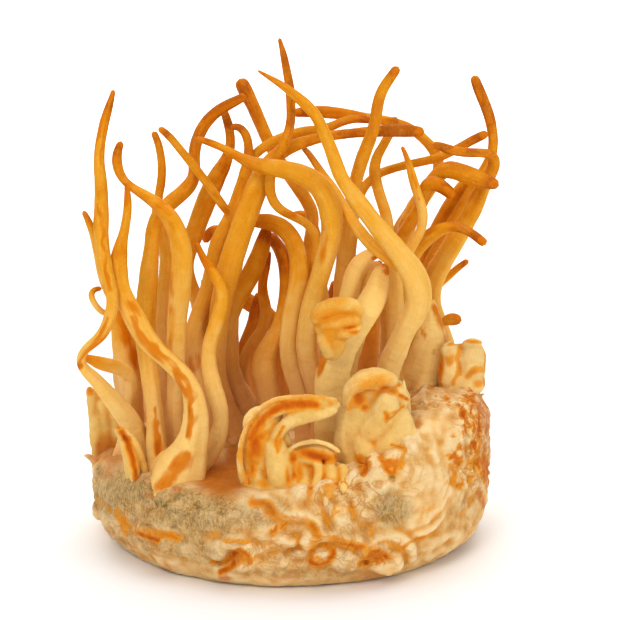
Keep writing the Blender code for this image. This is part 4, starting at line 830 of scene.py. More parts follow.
def skin_up(obj, material, orange=(), crust=(), mould=(), velvet=(), folds=(), fine=0.14, floor=None, bands=()):
    """Smooths a merged skin, gives it its fine relief and its colour fields."""
    mesh = obj.data
    co, e = mesh_arrays(mesh)
    co = relax(co, e, 3, 0.5)
    mesh.vertices.foreach_set("co", (co * 0.001).ravel())
    mesh.update()
    nor = normals(mesh)
    wide = relax(co, e, 22, 0.6)
    hollow = ((wide - co) * nor).sum(1)
    tight = ((relax(co, e, 6, 0.6) - co) * nor).sum(1)
    n1 = fill(noise.noise, co / 3.2)
    n2 = fill(noise.noise, co / 1.3 + 4.0)
    n3 = fill(noise.noise, co / 0.62 + 9.0)
    n4 = fill(noise.noise, co / 9.0 + 2.0)
    marks = to_marks(co)
    facing = step(0.0, 0.3, -(nor @ np.array([0.0, COS, -SIN])))
    velv = blobs(marks, velvet) * step(-0.3, 0.1, -(nor @ np.array([0.0, COS, -SIN])))
    co = co + nor * (fine * (1.2 * n2 + 0.7 * n3 + 0.8 * n1))[:, None]
    if floor is not None:
        low = co[:, 2] < 0.9
        co[:, 2] = np.where(low, np.maximum(co[:, 2] * np.clip(co[:, 2] / 0.9, 0, 1), 0.0), co[:, 2])
    mesh.vertices.foreach_set("co", (co * 0.001).ravel())
    mesh.update()
    wobble = marks + np.stack([n1, n4], -1) * 3.0
    torn = wobble + np.stack([n2, n3], -1) * 5.0 + np.stack([n4, n1], -1) * 4.0
    bruise_and_shade = blobs(torn, orange) if folds else blobs(wobble, orange, 0.10, 1.25)
    for strength, width, line in bands:
        d, _ = near_line(wobble, polyline(line, 5))
        bruise_and_shade = np.maximum(bruise_and_shade, strength * (1 - step(width * 0.10, width * 1.2, d * (1.0 + 0.5 * n2))))
    for depth, rim_r, side, width, strength, line in folds:
        c = polyline(line)
        near = np.nonzero((np.abs(marks[:, 0] - c[:, 0].mean()) < np.ptp(c[:, 0]) / 2 + 14)
                          & (np.abs(marks[:, 1] - c[:, 1].mean()) < np.ptp(c[:, 1]) / 2 + 14))[0]
        if len(near):
            d, _ = near_line(wobble[near], c)
            bruise_and_shade[near] = np.maximum(bruise_and_shade[near], strength * np.clip(0.85 + 0.8 * n1[near] + 0.4 * n2[near], 0.2, 1.1) * (1 - step(width * 0.15, width * 1.15, d)))
    bruise_and_shade *= facing
    away = 1.0 - facing * (0.75 if orange else 0.0)
    # orange-brown in the seams and hollows: painted shade, added to the orange stains
    seam = step(0.02, 0.30, hollow)
    bruise_and_shade = np.maximum(bruise_and_shade, away * seam * step(-0.15, 0.45, n4 + 0.5 * n1) * 0.95)
    bruise_and_shade = np.maximum(bruise_and_shade, facing * step(0.06, 0.4, hollow) * 0.55)
    if not folds:
        bruise_and_shade = np.maximum(bruise_and_shade, facing * step(0.03, 0.24, hollow) * (0.75 + 0.5 * n1))
    tan_area = np.maximum(blobs(wobble, TAN) * facing if folds else 0.0 * n1, away * step(-0.25, 0.25, n4) * 0.8)
    grey = np.maximum(blobs(wobble, mould) * facing, away * step(0.12, 0.5, fill(noise.noise, co / 13.0 + 21.0)) * 0.55)
    dark = np.maximum(blobs(wobble, crust) * facing, away * step(0.22, 0.5, fill(noise.noise, co / 6.0 + 31.0)) * 0.55 * step(-0.1, 0.2, hollow))
    veins = blobs(marks, VEINS) * facing if folds else 0.10 * facing
    # hollow and ridge are curvature fields; from them the rind paints shade in the hollows and highlight on the ridges
    for key, val in (("vein", veins), ("tan", tan_area), ("bruise_and_shade", bruise_and_shade), ("grey", grey), ("crust", dark), ("velvet", velv),
                     ("hollow", np.clip(0.5 + hollow * 1.2, 0, 1)), ("ridge", np.clip(-tight * 6.0, 0, 1))):
        at = mesh.attributes.new(key, "FLOAT", "POINT")
        at.data.foreach_set("value", np.asarray(val, np.float32))
    mesh.shade_smooth()
    mesh.materials.clear()
    mesh.materials.append(material)
    return obj


# ------------------------------------------------------------------ materials
def lin(r, g, b):
    return tuple(((c / 255 + 0.055) / 1.055) ** 2.4 if c > 10 else c / 255 / 12.92 for c in (r, g, b)) + (1.0,)


class Nodes:
    """Short ways to lay out a node material."""

    def __init__(self, name):
        self.mat = bpy.data.materials.new(name)
        self.mat.use_nodes = True
        self.t = self.mat.node_tree
        self.shader = self.t.nodes["Principled BSDF"]
        self.coord = self.t.nodes.new("ShaderNodeTexCoord").outputs["Object"]

    def link(self, a, b):
        self.t.links.new(a, b)

    def attr(self, name, vector=False):
        n = self.t.nodes.new("ShaderNodeAttribute")
        n.attribute_type = "GEOMETRY"
        n.attribute_name = name
        return n.outputs["Vector" if vector else "Fac"]

    def noise(self, scale, detail=3.0, rough=0.55, vec=None, distort=0.0):
        n = self.t.nodes.new("ShaderNodeTexNoise")
        n.inputs["Scale"].default_value = scale
        n.inputs["Detail"].default_value = detail
        n.inputs["Roughness"].default_value = rough
        n.inputs["Distortion"].default_value = distort
        self.link(vec or self.coord, n.inputs["Vector"])
        return n.outputs["Fac"]

    def voronoi(self, scale, vec=None, feature="F1"):
        n = self.t.nodes.new("ShaderNodeTexVoronoi")
        n.feature = feature
        n.inputs["Scale"].default_value = scale
        self.link(vec or self.coord, n.inputs["Vector"])
        return n.outputs["Distance"]

    def scale(self, vec, xyz):
        n = self.t.nodes.new("ShaderNodeMapping")
        n.inputs["Scale"].default_value = xyz
        self.link(vec, n.inputs["Vector"])
        return n.outputs["Vector"]

    def math(self, op, a, b=0.5, clamp=False):
        n = self.t.nodes.new("ShaderNodeMath")
        n.operation = op
        n.use_clamp = clamp
        for i, v in enumerate((a, b)):
            if isinstance(v, (int, float)):
                n.inputs[i].default_value = v
            else:
                self.link(v, n.inputs[i])
        return n.outputs[0]

    def band(self, fac, lo, hi, to0=0.0, to1=1.0):
        n = self.t.nodes.new("ShaderNodeMapRange")
        n.interpolation_type = "SMOOTHSTEP"
        self.link(fac, n.inputs["Value"])
        for key, v in (("From Min", lo), ("From Max", hi), ("To Min", to0), ("To Max", to1)):
            n.inputs[key].default_value = v
        return n.outputs["Result"]

    def ramp(self, fac, stops):
        n = self.t.nodes.new("ShaderNodeValToRGB")
        el = n.color_ramp.elements
        while len(el) < len(stops):
            el.new(0.5)
        for e, (pos, col) in zip(el, stops):
            e.position, e.color = pos, col
        self.link(fac, n.inputs["Fac"])
        return n.outputs["Color"]

    def mix(self, fac, a, b, mode="MIX"):
        n = self.t.nodes.new("ShaderNodeMix")
        n.data_type = "RGBA"
        n.blend_type = mode
        if isinstance(fac, (int, float)):
            n.inputs[0].default_value = fac
        else:
            self.link(fac, n.inputs[0])
        for i, v in ((6, a), (7, b)):
            if isinstance(v, tuple):
                n.inputs[i].default_value = v
            else:
                self.link(v, n.inputs[i])
        return n.outputs[2]

    def bump(self, height, dist, strength=1.0, base=None):
        n = self.t.nodes.new("ShaderNodeBump")
        n.inputs["Distance"].default_value = dist
        n.inputs["Strength"].default_value = strength
        self.link(height, n.inputs["Height"])
        if base is not None:
            self.link(base, n.inputs["Normal"])
        return n.outputs["Normal"]

    def done(self, color, rough, normal, sss=0.15, radius=(1.0, 0.42, 0.12), scale=0.0016, sheen=0.0, spec=0.4):
        s = self.shader
        self.link(color, s.inputs["Base Color"])
        if isinstance(rough, float):
            s.inputs["Roughness"].default_value = rough
        else:
            self.link(rough, s.inputs["Roughness"])
        if normal is not None:
            self.link(normal, s.inputs["Normal"])
        s.inputs["Subsurface Weight"].default_value = sss
        s.inputs["Subsurface Radius"].default_value = radius
        s.inputs["Subsurface Scale"].default_value = scale
        s.inputs["Specular IOR Level"].default_value = spec
        s.inputs["Sheen Weight"].default_value = sheen
        s.inputs["Sheen Roughness"].default_value = 0.5
        return self.mat


def flesh(name, shift=0.0, light=0.0):
    """Stem flesh: pale gold at the foot to deep orange and rust at the tip, with painted light and shade on the low
    stems inside the bunch.
    """
    m = Nodes(name)
    skin = m.attr("skin", True)
    ripe = m.attr("ripe")
    long_grain = m.noise(1500.0, 3.0, 0.6, m.scale(skin, (1.0, 1.0, 0.10)))
    mottle = m.noise(170.0, 3.0, 0.6)
    blotch = m.noise(60.0, 2.0, 0.5)
    speck = m.noise(1100.0, 2.0, 0.6)
    v = m.math("ADD", ripe, shift)
    v = m.math("ADD", v, m.math("MULTIPLY", m.math("SUBTRACT", long_grain, 0.5), 0.34))
    v = m.math("ADD", v, m.math("MULTIPLY", m.math("SUBTRACT", mottle, 0.5), m.band(ripe, 0.2, 0.9, 0.30, 0.75)))
    v = m.math("ADD", v, m.math("MULTIPLY", m.math("SUBTRACT", blotch, 0.5), 0.30), True)
    base = m.ramp(v, [(0.0, lin(240, 198, 118)), (0.22, lin(234, 182, 86)), (0.45, lin(228, 160, 42)),
                      (0.68, lin(218, 142, 16)), (0.88, lin(204, 118, 3)), (1.0, lin(174, 88, 1))])
    dots = m.math("MULTIPLY", m.band(speck, 0.60, 0.72), m.band(ripe, 0.55, 1.0))
    base = m.mix(m.math("MULTIPLY", dots, 0.45), base, lin(158, 76, 6))
    pale = m.math("MULTIPLY", m.band(mottle, 0.56, 0.74), 0.16)
    base = m.mix(pale, base, lin(240, 192, 100))
    if light:
        base = m.mix(light, base, lin(254, 220, 136))
    # painted light inside the bunch: a paler pinkish tan lifts the low inner stems
    base = m.mix(m.math("MULTIPLY", m.attr("inner"), 0.25 if light else 0.55), base, lin(226, 164, 106))
    # painted shade: the deepest inner stems darkened towards brown
    if not light:
        base = m.mix(m.band(m.attr("inner"), 0.55, 1.0, 0.0, 0.18), base, lin(176, 100, 54))
    rings = m.noise(900.0, 2.0, 0.5, m.scale(skin, (0.22, 0.22, 1.0)), 0.4)
    grain = m.noise(2300.0, 2.0, 0.6)
    base = m.mix(m.band(rings, 0.50, 0.72, 0.0, 0.16), base, lin(220, 146, 40))
    base = m.mix(m.band(grain, 0.54, 0.70, 0.0, 0.13), base, lin(208, 124, 14))
    base = m.mix(m.band(grain, 0.46, 0.32, 0.0, 0.10), base, lin(252, 212, 120))
    worn = m.math("ADD", m.math("MULTIPLY", m.math("SUBTRACT", mottle, 0.5), 0.45), m.math("MULTIPLY", m.math("SUBTRACT", long_grain, 0.5), 0.55))
    rust = m.attr("rust")
    stain = m.math("ADD", rust, m.math("MULTIPLY", worn, m.band(rust, 0.0, 0.2)))
    base = m.mix(m.band(stain, 0.06, 0.60, 0.0, 0.94), base, lin(210, 118, 0))
    base = m.mix(m.band(stain, 0.66, 1.15, 0.0, 0.75), base, lin(172, 80, 0))
    rough = m.band(mottle, 0.3, 0.7, 0.48, 0.64)
    n0 = m.bump(rings, 0.00034, 0.6)
    n1 = m.bump(long_grain, 0.00026, 0.55, n0)
    n2 = m.bump(speck, 0.00012, 0.5, n1)
    return m.done(base, rough, n2, 0.14, (1.0, 0.42, 0.10), 0.0009, 0.0, 0.08)


def rind(name, tan=0.0, golden=False, cream=0.0):
    """Mycelium skin: cream swellings with painted highlight on the ridges, orange stains in the folds with painted
    shade in the hollows, grey mould, crust.
    """
    m = Nodes(name)
    big = m.noise(75.0, 3.0, 0.55)
    mid = m.noise(260.0, 4.0, 0.62, distort=0.4)
    fine = m.noise(1100.0, 3.0, 0.65)
    fib = m.noise(520.0, 4.0, 0.7, m.scale(m.coord, (1.0, 1.0, 2.6)), 0.8)
    hatch = m.noise(1500.0, 3.0, 0.65, m.scale(m.coord, (1.0, 1.0, 0.42)), 1.4)
    hollow, ridge, bruise_and_shade = m.attr("hollow"), m.attr("ridge"), m.attr("bruise_and_shade")
    v = m.math("ADD", m.math("MULTIPLY", big, 0.55), m.math("MULTIPLY", mid, 0.55))
    # darker, more orange in the hollows: painted shade
    v = m.math("ADD", v, m.math("MULTIPLY", m.math("SUBTRACT", hollow, 0.5), 0.75))
    v = m.math("ADD", v, tan - 0.06, True)
    stops = [(0.16, lin(242, 208, 132)), (0.34, lin(234, 190, 102)), (0.50, lin(224, 170, 72)),
             (0.66, lin(210, 142, 42)), (0.86, lin(186, 106, 18))]
    pale = lin(252, 232, 172)
    stops = [(at, tuple(a + (b - a) * cream for a, b in zip(c, pale))) for at, c in stops]
    base = m.ramp(v, stops if golden else [(0.18, lin(245, 216, 162)), (0.38, lin(238, 198, 134)), (0.53, lin(226, 174, 102)),
                      (0.68, lin(206, 144, 72)), (0.88, lin(176, 106, 46))])
    # lighter cream on the ridges: painted highlight
    base = m.mix(m.math("MULTIPLY", ridge, 0.40), base, lin(236, 196, 116) if golden else lin(242, 212, 158))
    tan_skin = m.math("MULTIPLY", m.attr("tan"), m.band(mid, 0.25, 0.7, 0.5, 1.0), True)
    base = m.mix(m.math("MULTIPLY", tan_skin, 0.92), base, m.mix(m.band(m.math("ADD", m.math("MULTIPLY", fib, 0.5), m.math("MULTIPLY", hatch, 0.5)), 0.36, 0.62), lin(106, 74, 34), lin(202, 158, 96)))
    wisps = m.math("MULTIPLY", m.band(fib, 0.55, 0.75), 0.22)
    base = m.mix(wisps, base, lin(240, 214, 170))
    ragged = m.math("ADD", m.math("MULTIPLY", m.math("SUBTRACT", mid, 0.5), 0.75), m.math("MULTIPLY", m.math("SUBTRACT", hatch, 0.5), 0.45))
    # the bruise field holds the orange stains and the painted shade of the hollows
    b = m.math("ADD", bruise_and_shade, m.math("MULTIPLY", ragged, m.band(bruise_and_shade, 0.0, 0.25, 0.25, 1.0)))
    base = m.mix(m.band(b, 0.04, 0.50, 0.0, 0.90), base, lin(226, 146, 24))
    base = m.mix(m.band(b, 0.48, 1.02, 0.0, 0.95), base, lin(206, 104, 0))
    base = m.mix(m.band(b, 0.98, 1.30, 0.0, 0.75), base, lin(172, 66, 0))
    vein = m.attr("vein")
    coarse = m.noise(200.0, 2.5, 0.55, distort=1.7)
    small = m.noise(430.0, 2.0, 0.5, distort=2.2)
    line = m.band(m.math("ABSOLUTE", m.math("SUBTRACT", coarse, 0.5), 0.0), 0.042, 0.0)
    thread = m.band(m.math("ABSOLUTE", m.math("SUBTRACT", small, 0.52), 0.0), 0.028, 0.0)
    lines = m.math("MULTIPLY", m.math("MAXIMUM", line, m.math("MULTIPLY", thread, 0.35)), vein, True)
    base = m.mix(m.math("MULTIPLY", lines, 0.50), base, m.mix(mid, lin(214, 128, 40), lin(168, 80, 22)))
    vel = m.attr("velvet")
    base = m.mix(m.math("MULTIPLY", vel, 0.95), base, m.mix(mid, lin(206, 120, 6), lin(146, 72, 0)))
    grey = m.math("MULTIPLY", m.attr("grey"), m.band(fib, 0.36, 0.62, 0.35, 1.0), True)
    base = m.mix(grey, base, m.mix(m.band(hatch, 0.38, 0.62), lin(96, 84, 46), lin(186, 158, 102)))
    cr = m.math("MULTIPLY", m.attr("crust"), m.band(mid, 0.34, 0.60, 0.25, 1.0), True)
    base = m.mix(cr, base, m.mix(fine, lin(172, 68, 10), lin(222, 136, 54)))
    pores = m.math("MULTIPLY", m.band(m.voronoi(420.0), 0.12, 0.02), 0.35)
    base = m.mix(pores, base, lin(150, 92, 44))
    rough = m.band(mid, 0.3, 0.7, 0.62, 0.85)
    grooved = m.math("SUBTRACT", mid, m.math("MULTIPLY", lines, 0.6))
    n1 = m.bump(grooved, 0.0002 if golden else 0.0005, 0.7)
    n2 = m.bump(m.math("ADD", m.math("MULTIPLY", fib, 0.6), m.math("MULTIPLY", hatch, 0.4)), 0.00015 if golden else 0.0003, 0.7, n1)
    n3 = m.bump(fine, 0.00008 if golden else 0.00014, 0.6, n2)
    return m.done(base, rough, n3, 0.12, (1.0, 0.55, 0.25), 0.0009, 0.02, 0.12)


# -------------------------------------------------------------------- stems
runs = [trace(s) for s in STEMS]
settle(runs)
for r in runs:
    r["p"] = place(r["mark"][:, 0], r["mark"][:, 1], r["y"])
by_name = {s["name"]: (s, r) for s, r in zip(STEMS, runs)}
STEM_FLESH = flesh("stem_flesh")
PALE_FLESH = flesh("pale_flesh", -0.06, 0.60)
RIND = rind("mycelium_rind")
LOBE_RIND = rind("lobe_rind", -0.02, True, 0.08)
FOLD_RIND = rind("fold_rind", -0.04, True, 0.20)
KNOB_RIND = rind("knob_rind", -0.06, True, 0.34)
HEAD_RIND = rind("head_rind", 0.14, True)
LOBES = {"ear_lobe", "folded_lobe", "knob_right", "curled_head", "lobe_left", "tongue_front_left"}
made = []
for number, (s, r) in enumerate(zip(STEMS, runs)):
    if s["name"] in LOBES:
        continue
    pale = s["name"].startswith("stem_pale") or s["name"] == "stump_right"
    thin = r["r"].mean() < 1.0
    piece = stem_piece(s, r, number + 1, PALE_FLESH if pale else STEM_FLESH, 18 if thin else 28, 0.38)
    slot = "pale_stem" if s["name"].startswith("stem_pale") else (
        "folded_flesh" if s["name"] in ("lobe_left", "tongue_front_left", "stump_right") else "stem")
    made.append((piece, s["name"], slot))

# --------------------------------------------------------------------- lobes
def run_depth(name, where=0.0):
    y = by_name[name][1]["y"]
    return float(y[int(where * (len(y) - 1))])


ear_y = run_depth("ear_lobe", 0.5)
ear = [ball(268, 458, ear_y + 0.7, 24, 40, 1.8), ball(298, 480, ear_y + 0.2, 40, 24, 2.6), ball(296, 492, ear_y - 1.4, 50, 16, 4.4),
       ball(332, 482, ear_y + 1.2, 20, 20, 2.4), ball(312, 406, ear_y + 1.3, 26, 9, 1.4, -3), ball(262, 424, ear_y + 0.9, 18, 18, 1.5),
       roll([(338, 400), (320, 397), (306, 396), (290, 397), (274, 400), (260, 408), (250, 420), (243, 436), (240, 454), (241, 470), (246, 484), (256, 495), (270, 500)],
            [ear_y + .8, ear_y - .7, ear_y - 1.4, ear_y - 1.4, ear_y - .9, ear_y - .5], [4, 4, 4.5, 4.5, 5, 5, 5, 5, 6, 7, 9, 10, 9]),
       roll([(330, 405), (314, 404), (298, 405), (282, 407), (268, 413), (257, 424), (251, 440), (251, 458)],
            [ear_y + .7, ear_y + .1, ear_y + .2, ear_y + .5, ear_y + .6], [8, 13, 14, 14, 14, 14, 14, 11]),
       roll([(338, 408), (324, 413), (308, 416), (294, 420), (283, 427), (276, 438), (273, 450)],
            [ear_y + .6, ear_y - .5, ear_y - 1.1, ear_y - .8, ear_y - .2], [8, 11, 13, 13, 12, 12, 10]),
       roll([(272, 436), (277, 454), (280, 472), (278, 494)], [ear_y + .1, ear_y - 1.4, ear_y - 3.6], [17, 24, 24, 16]),
       roll([(254, 468), (260, 483), (272, 494)], [ear_y - .1, ear_y - 1.6, ear_y - 3.4], [10, 15, 13]),
       roll([(286, 462), (288, 453), (295, 446), (307, 442), (320, 442), (331, 446), (341, 453)], [ear_y - .4, ear_y - 1.6, ear_y - 1.8, ear_y - 1.0], [4, 5, 5, 5, 5, 5, 4]),
       roll([(290, 458), (300, 452), (314, 451), (328, 455), (338, 460)], [ear_y + .1, ear_y - .6, ear_y - .7, ear_y - .1], [9, 11, 12, 11, 8]),
       roll([(295, 470), (299, 462), (308, 459), (317, 463), (319, 474), (316, 486), (311, 496)], [ear_y - .4, ear_y - 1.4, ear_y - 3.0, ear_y - 6.0], [7, 8, 9, 10, 10, 9, 8]),
       roll([(327, 462), (331, 473), (333, 487), (329, 500)], [ear_y - .4, ear_y - 3.0, ear_y - 6.2], [9, 14, 14, 10]),
       roll([(304, 472), (306, 484), (303, 498)], [ear_y - .6, ear_y - 3.0, ear_y - 6.0], [8, 11, 9]),
       roll([(290, 470), (293, 484), (291, 499)], [ear_y - .5, ear_y - 2.6, ear_y - 5.4], [8, 11, 9]),
       roll([(341, 464), (345, 478), (342, 494)], [ear_y - .4, ear_y - 3.0, ear_y - 6.4], [9, 13, 10])]
ear_obj = merged("ear_lobe_skin", ear, 0.27)
skin_up(ear_obj, LOBE_RIND, orange=[(256, 446, 12, 22, 8, 1.2), (262, 436, 9, 9, 0, .85), (252, 468, 6, 14, 0, .85), (262, 484, 9, 6, 20, .75), (272, 495, 16, 4, 0, .8),
        (316, 455, 24, 7, 8, 1.35), (294, 458, 6, 7, 20, 1.0), (300, 470, 4, 12, 0, .8), (336, 456, 7, 5, 30, 1.1), (280, 444, 3, 10, 0, .7),
        (288, 478, 3, 14, 0, .8), (311, 472, 4, 12, 0, .7), (323, 478, 3, 16, 0, .85), (338, 478, 3, 14, 0, .7), (298, 484, 3, 12, 0, .7), (330, 478, 7, 3, 0, .4)],
        bands=[(.34, 5.0, [(338, 400), (306, 396), (274, 400), (250, 420), (240, 454), (246, 484)]), (1.15, 7.0, [(317, 405), (300, 404), (284, 406), (269, 412), (258, 423), (252, 438)]), (.85, 11.0, [(258, 420), (253, 440), (252, 460)]),
               (.75, 3.0, [(284, 428), (277, 440), (278, 452)])],
        crust=[(325, 453, 8, 3, 25, .4), (268, 497, 12, 3, 10, .35), (270, 432, 5, 4, 0, .3)], fine=0.08)
made.append((ear_obj, "ear_lobe", "folded_flesh"))

fold_y = run_depth("folded_lobe", 0.5)
fold = [ball(376, 412, fold_y + 0.9, 33, 36, 1.9, 0, 2.6), ball(374, 452, fold_y + 0.6, 32, 62, 3.2, 2, 2.8), ball(392, 458, fold_y - 0.6, 24, 54, 3.2, 0, 2.5),
        ball(352, 436, fold_y + 1.2, 17, 44, 2.6, 4, 2.4),
        # the hood, a broad flat brim
        roll([(344, 408), (346, 396), (352, 387), (361, 381), (373, 378), (386, 378), (397, 383)],
             [fold_y + .2, fold_y - .9, fold_y - 1.2, fold_y - .8, fold_y + .1], [5, 9, 14, 17, 17, 15, 9]),
        roll([(350, 380), (364, 373), (380, 372), (392, 377)], [fold_y, fold_y - .3, fold_y], [5, 8, 9, 6]),
        # the lip of the shallow pocket under the hood
        roll([(347, 412), (349, 400), (356, 391), (367, 387), (380, 388)], [fold_y - .5, fold_y - 1.5, fold_y - 1.6, fold_y - 1.0], [3, 4, 5, 5, 4]),
        roll([(350, 404), (360, 402), (370, 396)], [fold_y + .1, fold_y - .3, fold_y], [10, 16, 12]),
        roll([(350, 414), (360, 416), (370, 412)], [fold_y - .4, fold_y - 1.0, fold_y - 1.0], [7, 9, 9]),
        # cream flesh right of the pocket, running down to the cake
        roll([(384, 392), (386, 404), (381, 418), (370, 430), (358, 438)], [fold_y - .4, fold_y - 1.4, fold_y - 1.4, fold_y - 1.0, fold_y - .6], [20, 26, 28, 26, 18]),
        roll([(396, 388), (402, 396), (402, 408)], [fold_y, fold_y - .7, fold_y - .4], [9, 11, 10]),
        roll([(403, 378), (404, 388), (403, 398)], [fold_y - .1, fold_y - .4, fold_y - .4], [2.5, 5, 7]),
        roll([(394, 414), (402, 424), (408, 438), (410, 454), (404, 472)], [fold_y - .6, fold_y - 1.3, fold_y - 1.7, fold_y - 1.8], [14, 19, 20, 19, 14]),
        roll([(384, 420), (390, 432), (389, 446), (382, 460)], [fold_y - 1.0, fold_y - 1.8, fold_y - 2.0], [16, 20, 20, 16]),
        roll([(358, 430), (364, 446), (372, 466)], [fold_y - .6, fold_y - 1.5, fold_y - 2.0], [16, 22, 20]),
        roll([(390, 443), (399, 446), (405, 452), (400, 458)], [fold_y - 2.0, fold_y - 2.9, fold_y - 2.6], [3, 4, 4, 3]),
        roll([(346, 418), (344, 436), (348, 456)], [fold_y + .2, fold_y - .3, fold_y - .7], [8, 11, 12])]
fold_obj = merged("folded_lobe_skin", fold, 0.28)
skin_up(fold_obj, FOLD_RIND, orange=[(372, 383, 34, 13, -12, .44), (350, 392, 8, 12, 20, .40), (378, 440, 40, 34, 0, .10), (358, 400, 10, 10, 20, 1.2), (365, 408, 6, 5, 30, 1.1), (374, 394, 9, 4, 0, .30),
        (392, 391, 8, 6, 25, .85), (400, 397, 6, 3, 25, 1.15), (406, 400, 4, 2.5, 20, 1.3), (386, 417, 3.5, 7, 0, 1.0), (394, 413, 8, 2.5, -14, .85),
        (386, 462, 8, 6, 20, .9), (397, 460, 5, 6, -30, .8), (360, 458, 8, 7, 0, .8)],
        bands=[(.45, 3.0, [(348, 410), (350, 400), (357, 392), (367, 388)]), (.9, 2.0, [(384, 412), (387, 419), (394, 415), (404, 408)]),
               (.95, 1.6, [(391, 444), (398, 446), (404, 450), (400, 457)]), (.85, 3.0, [(380, 458), (386, 464), (390, 474), (396, 466), (400, 458)])],
        crust=[(405, 400, 5, 2.5, 25, .4), (413, 424, 4, 9, 25, .5), (389, 472, 4, 4, 0, .5)], fine=0.10)
made.append((fold_obj, "folded_lobe", "folded_flesh"))

tongue = [ball(131, 458, -24.8, 7, 28, 1.1, -10),
          roll([(115, 426), (125, 431), (134, 441), (141, 456), (145, 472), (150, 492)], [-27.6, -26.4, -25.0, -23.4, -21.6], [4, 6, 7, 7, 8, 10]),
          roll([(114, 428), (121, 438), (125, 452), (128, 468), (133, 490)], [-27.6, -26.4, -25.0, -23.4, -21.6], [3, 5, 6, 7, 9])]
tongue_obj = merged("tongue_front_left_skin", tongue, 0.22)
skin_up(tongue_obj, LOBE_RIND, orange=[(118, 428, 5, 3, 20, .9)], bands=[(1.15, 5.0, [(122, 432), (129, 444), (133, 458), (136, 474), (138, 484)])],
        crust=[(137, 478, 5, 6, 0, .4)], fine=0.06)
made.append((tongue_obj, "tongue_front_left", "folded_flesh"))

wall = [ball(103, 428, -2.6, 14, 42, 1.8, -3, 2.6),
        roll([(89, 386), (93, 402), (97, 428), (100, 464)], [-4.0, -3.2, -2.6, -2.2], [7, 12, 14, 15]),
        roll([(101, 400), (107, 422), (110, 462)], [-4.0, -3.9, -3.4], [8, 13, 15]),
        roll([(108, 390), (113, 406), (117, 430), (119, 464)], [-4.0, -4.2, -4.2, -4.0], [7, 11, 12, 12])]
wall_obj = merged("lobe_left_skin", wall, 0.30)
skin_up(wall_obj, LOBE_RIND, orange=[(90, 390, 6, 8, -15, .9), (106, 436, 12, 7, 0, .3)], velvet=[(108, 450, 16, 20, 0, .9)], mould=[(108, 430, 14, 10, 0, .25)],
        crust=[(104, 448, 10, 8, 0, .5)], fine=0.09)
made.append((wall_obj, "lobe_left", "folded_flesh"))

knob_y = run_depth("knob_right", 0.5)
knob = [ball(471, 366, knob_y, 14.5, 24, 2.0, 6, 2.6), ball(449.5, 367, knob_y - .4, 11, 23, 1.9, 8, 2.5),
        ball(462, 382, knob_y, 23, 14, 1.9, 0, 2.8), ball(461, 360, knob_y + .7, 20, 17, 1.3, 0, 3.0),
        roll([(462, 346), (471, 342), (482, 344)], [knob_y - .5, knob_y - 1.0, knob_y - .4], [8, 8, 8]),
        roll([(443, 356), (446, 347), (454, 344)], [knob_y - .6, knob_y - .9, knob_y - .6], [8, 9, 8]),
        roll([(463, 372), (473, 368), (482, 372)], [knob_y - 1.2, knob_y - 1.8, knob_y - 1.2], [8, 11, 8])]
knob_obj = merged("knob_right_skin", knob, 0.28)
skin_up(knob_obj, KNOB_RIND, orange=[(441, 368, 4, 20, 6, .9), (450, 360, 6, 9, 20, .55), (474, 343, 10, 2.5, 4, .8), (451, 344, 6, 2.5, -8, .7),
        (485, 362, 2.5, 14, 0, .8), (476, 370, 9, 5, -12, .75), (463, 391, 8, 4, 0, .7), (478, 384, 7, 5, -20, .5), (440, 386, 4, 5, 0, .7)],
        bands=[(.55, 3.2, [(460, 346), (457, 358), (457, 372), (454, 384)]), (.50, 4.0, [(468, 376), (476, 370), (484, 371)])],
        crust=[(459, 362, 1.5, 10, 3, .7), (485, 384, 3, 8, 0, .7), (440, 380, 2, 8, 0, .5)], fine=0.08)
made.append((knob_obj, "knob_right", "folded_flesh"))

cap_y = run_depth("curled_head", 0.5)
cap = [ball(338, 322, cap_y + 0.8, 23, 17, 1.5, -6, 2.6), ball(333, 344, cap_y + 1.2, 12, 16, 1.4, 12, 2.4),
       roll([(314, 324), (318, 313), (328, 307), (341, 304), (354, 306), (364, 313)], [cap_y + .2, cap_y - .5, cap_y - .6, cap_y + .3], [10, 14, 15, 14, 9]),
       roll([(320, 326), (333, 324), (347, 320), (361, 319)], [cap_y + .1, cap_y - .5, cap_y - .1], [9, 12, 8]),
       roll([(336, 334), (350, 333), (362, 325)], [cap_y + .1, cap_y - .4, cap_y + .1], [9, 10, 6]),
       roll([(320, 332), (325, 344), (331, 358)], [cap_y + .6, cap_y + .2, cap_y + .9], [10, 13, 12])]
cap_obj = merged("curled_head_skin", cap, 0.28)
skin_up(cap_obj, HEAD_RIND, orange=[(350, 326, 13, 3, -16, 1.2), (355, 331, 8, 3, -16, 1.0), (338, 322, 40, 40, 0, .34), (334, 311, 26, 8, -6, .48), (328, 330, 14, 12, 0, .42), (341, 340, 6, 3, 0, .6)],
        crust=[(353, 330, 7, 1.6, -14, .6)], fine=0.06)
made.append((cap_obj, "curled_head", "folded_flesh"))

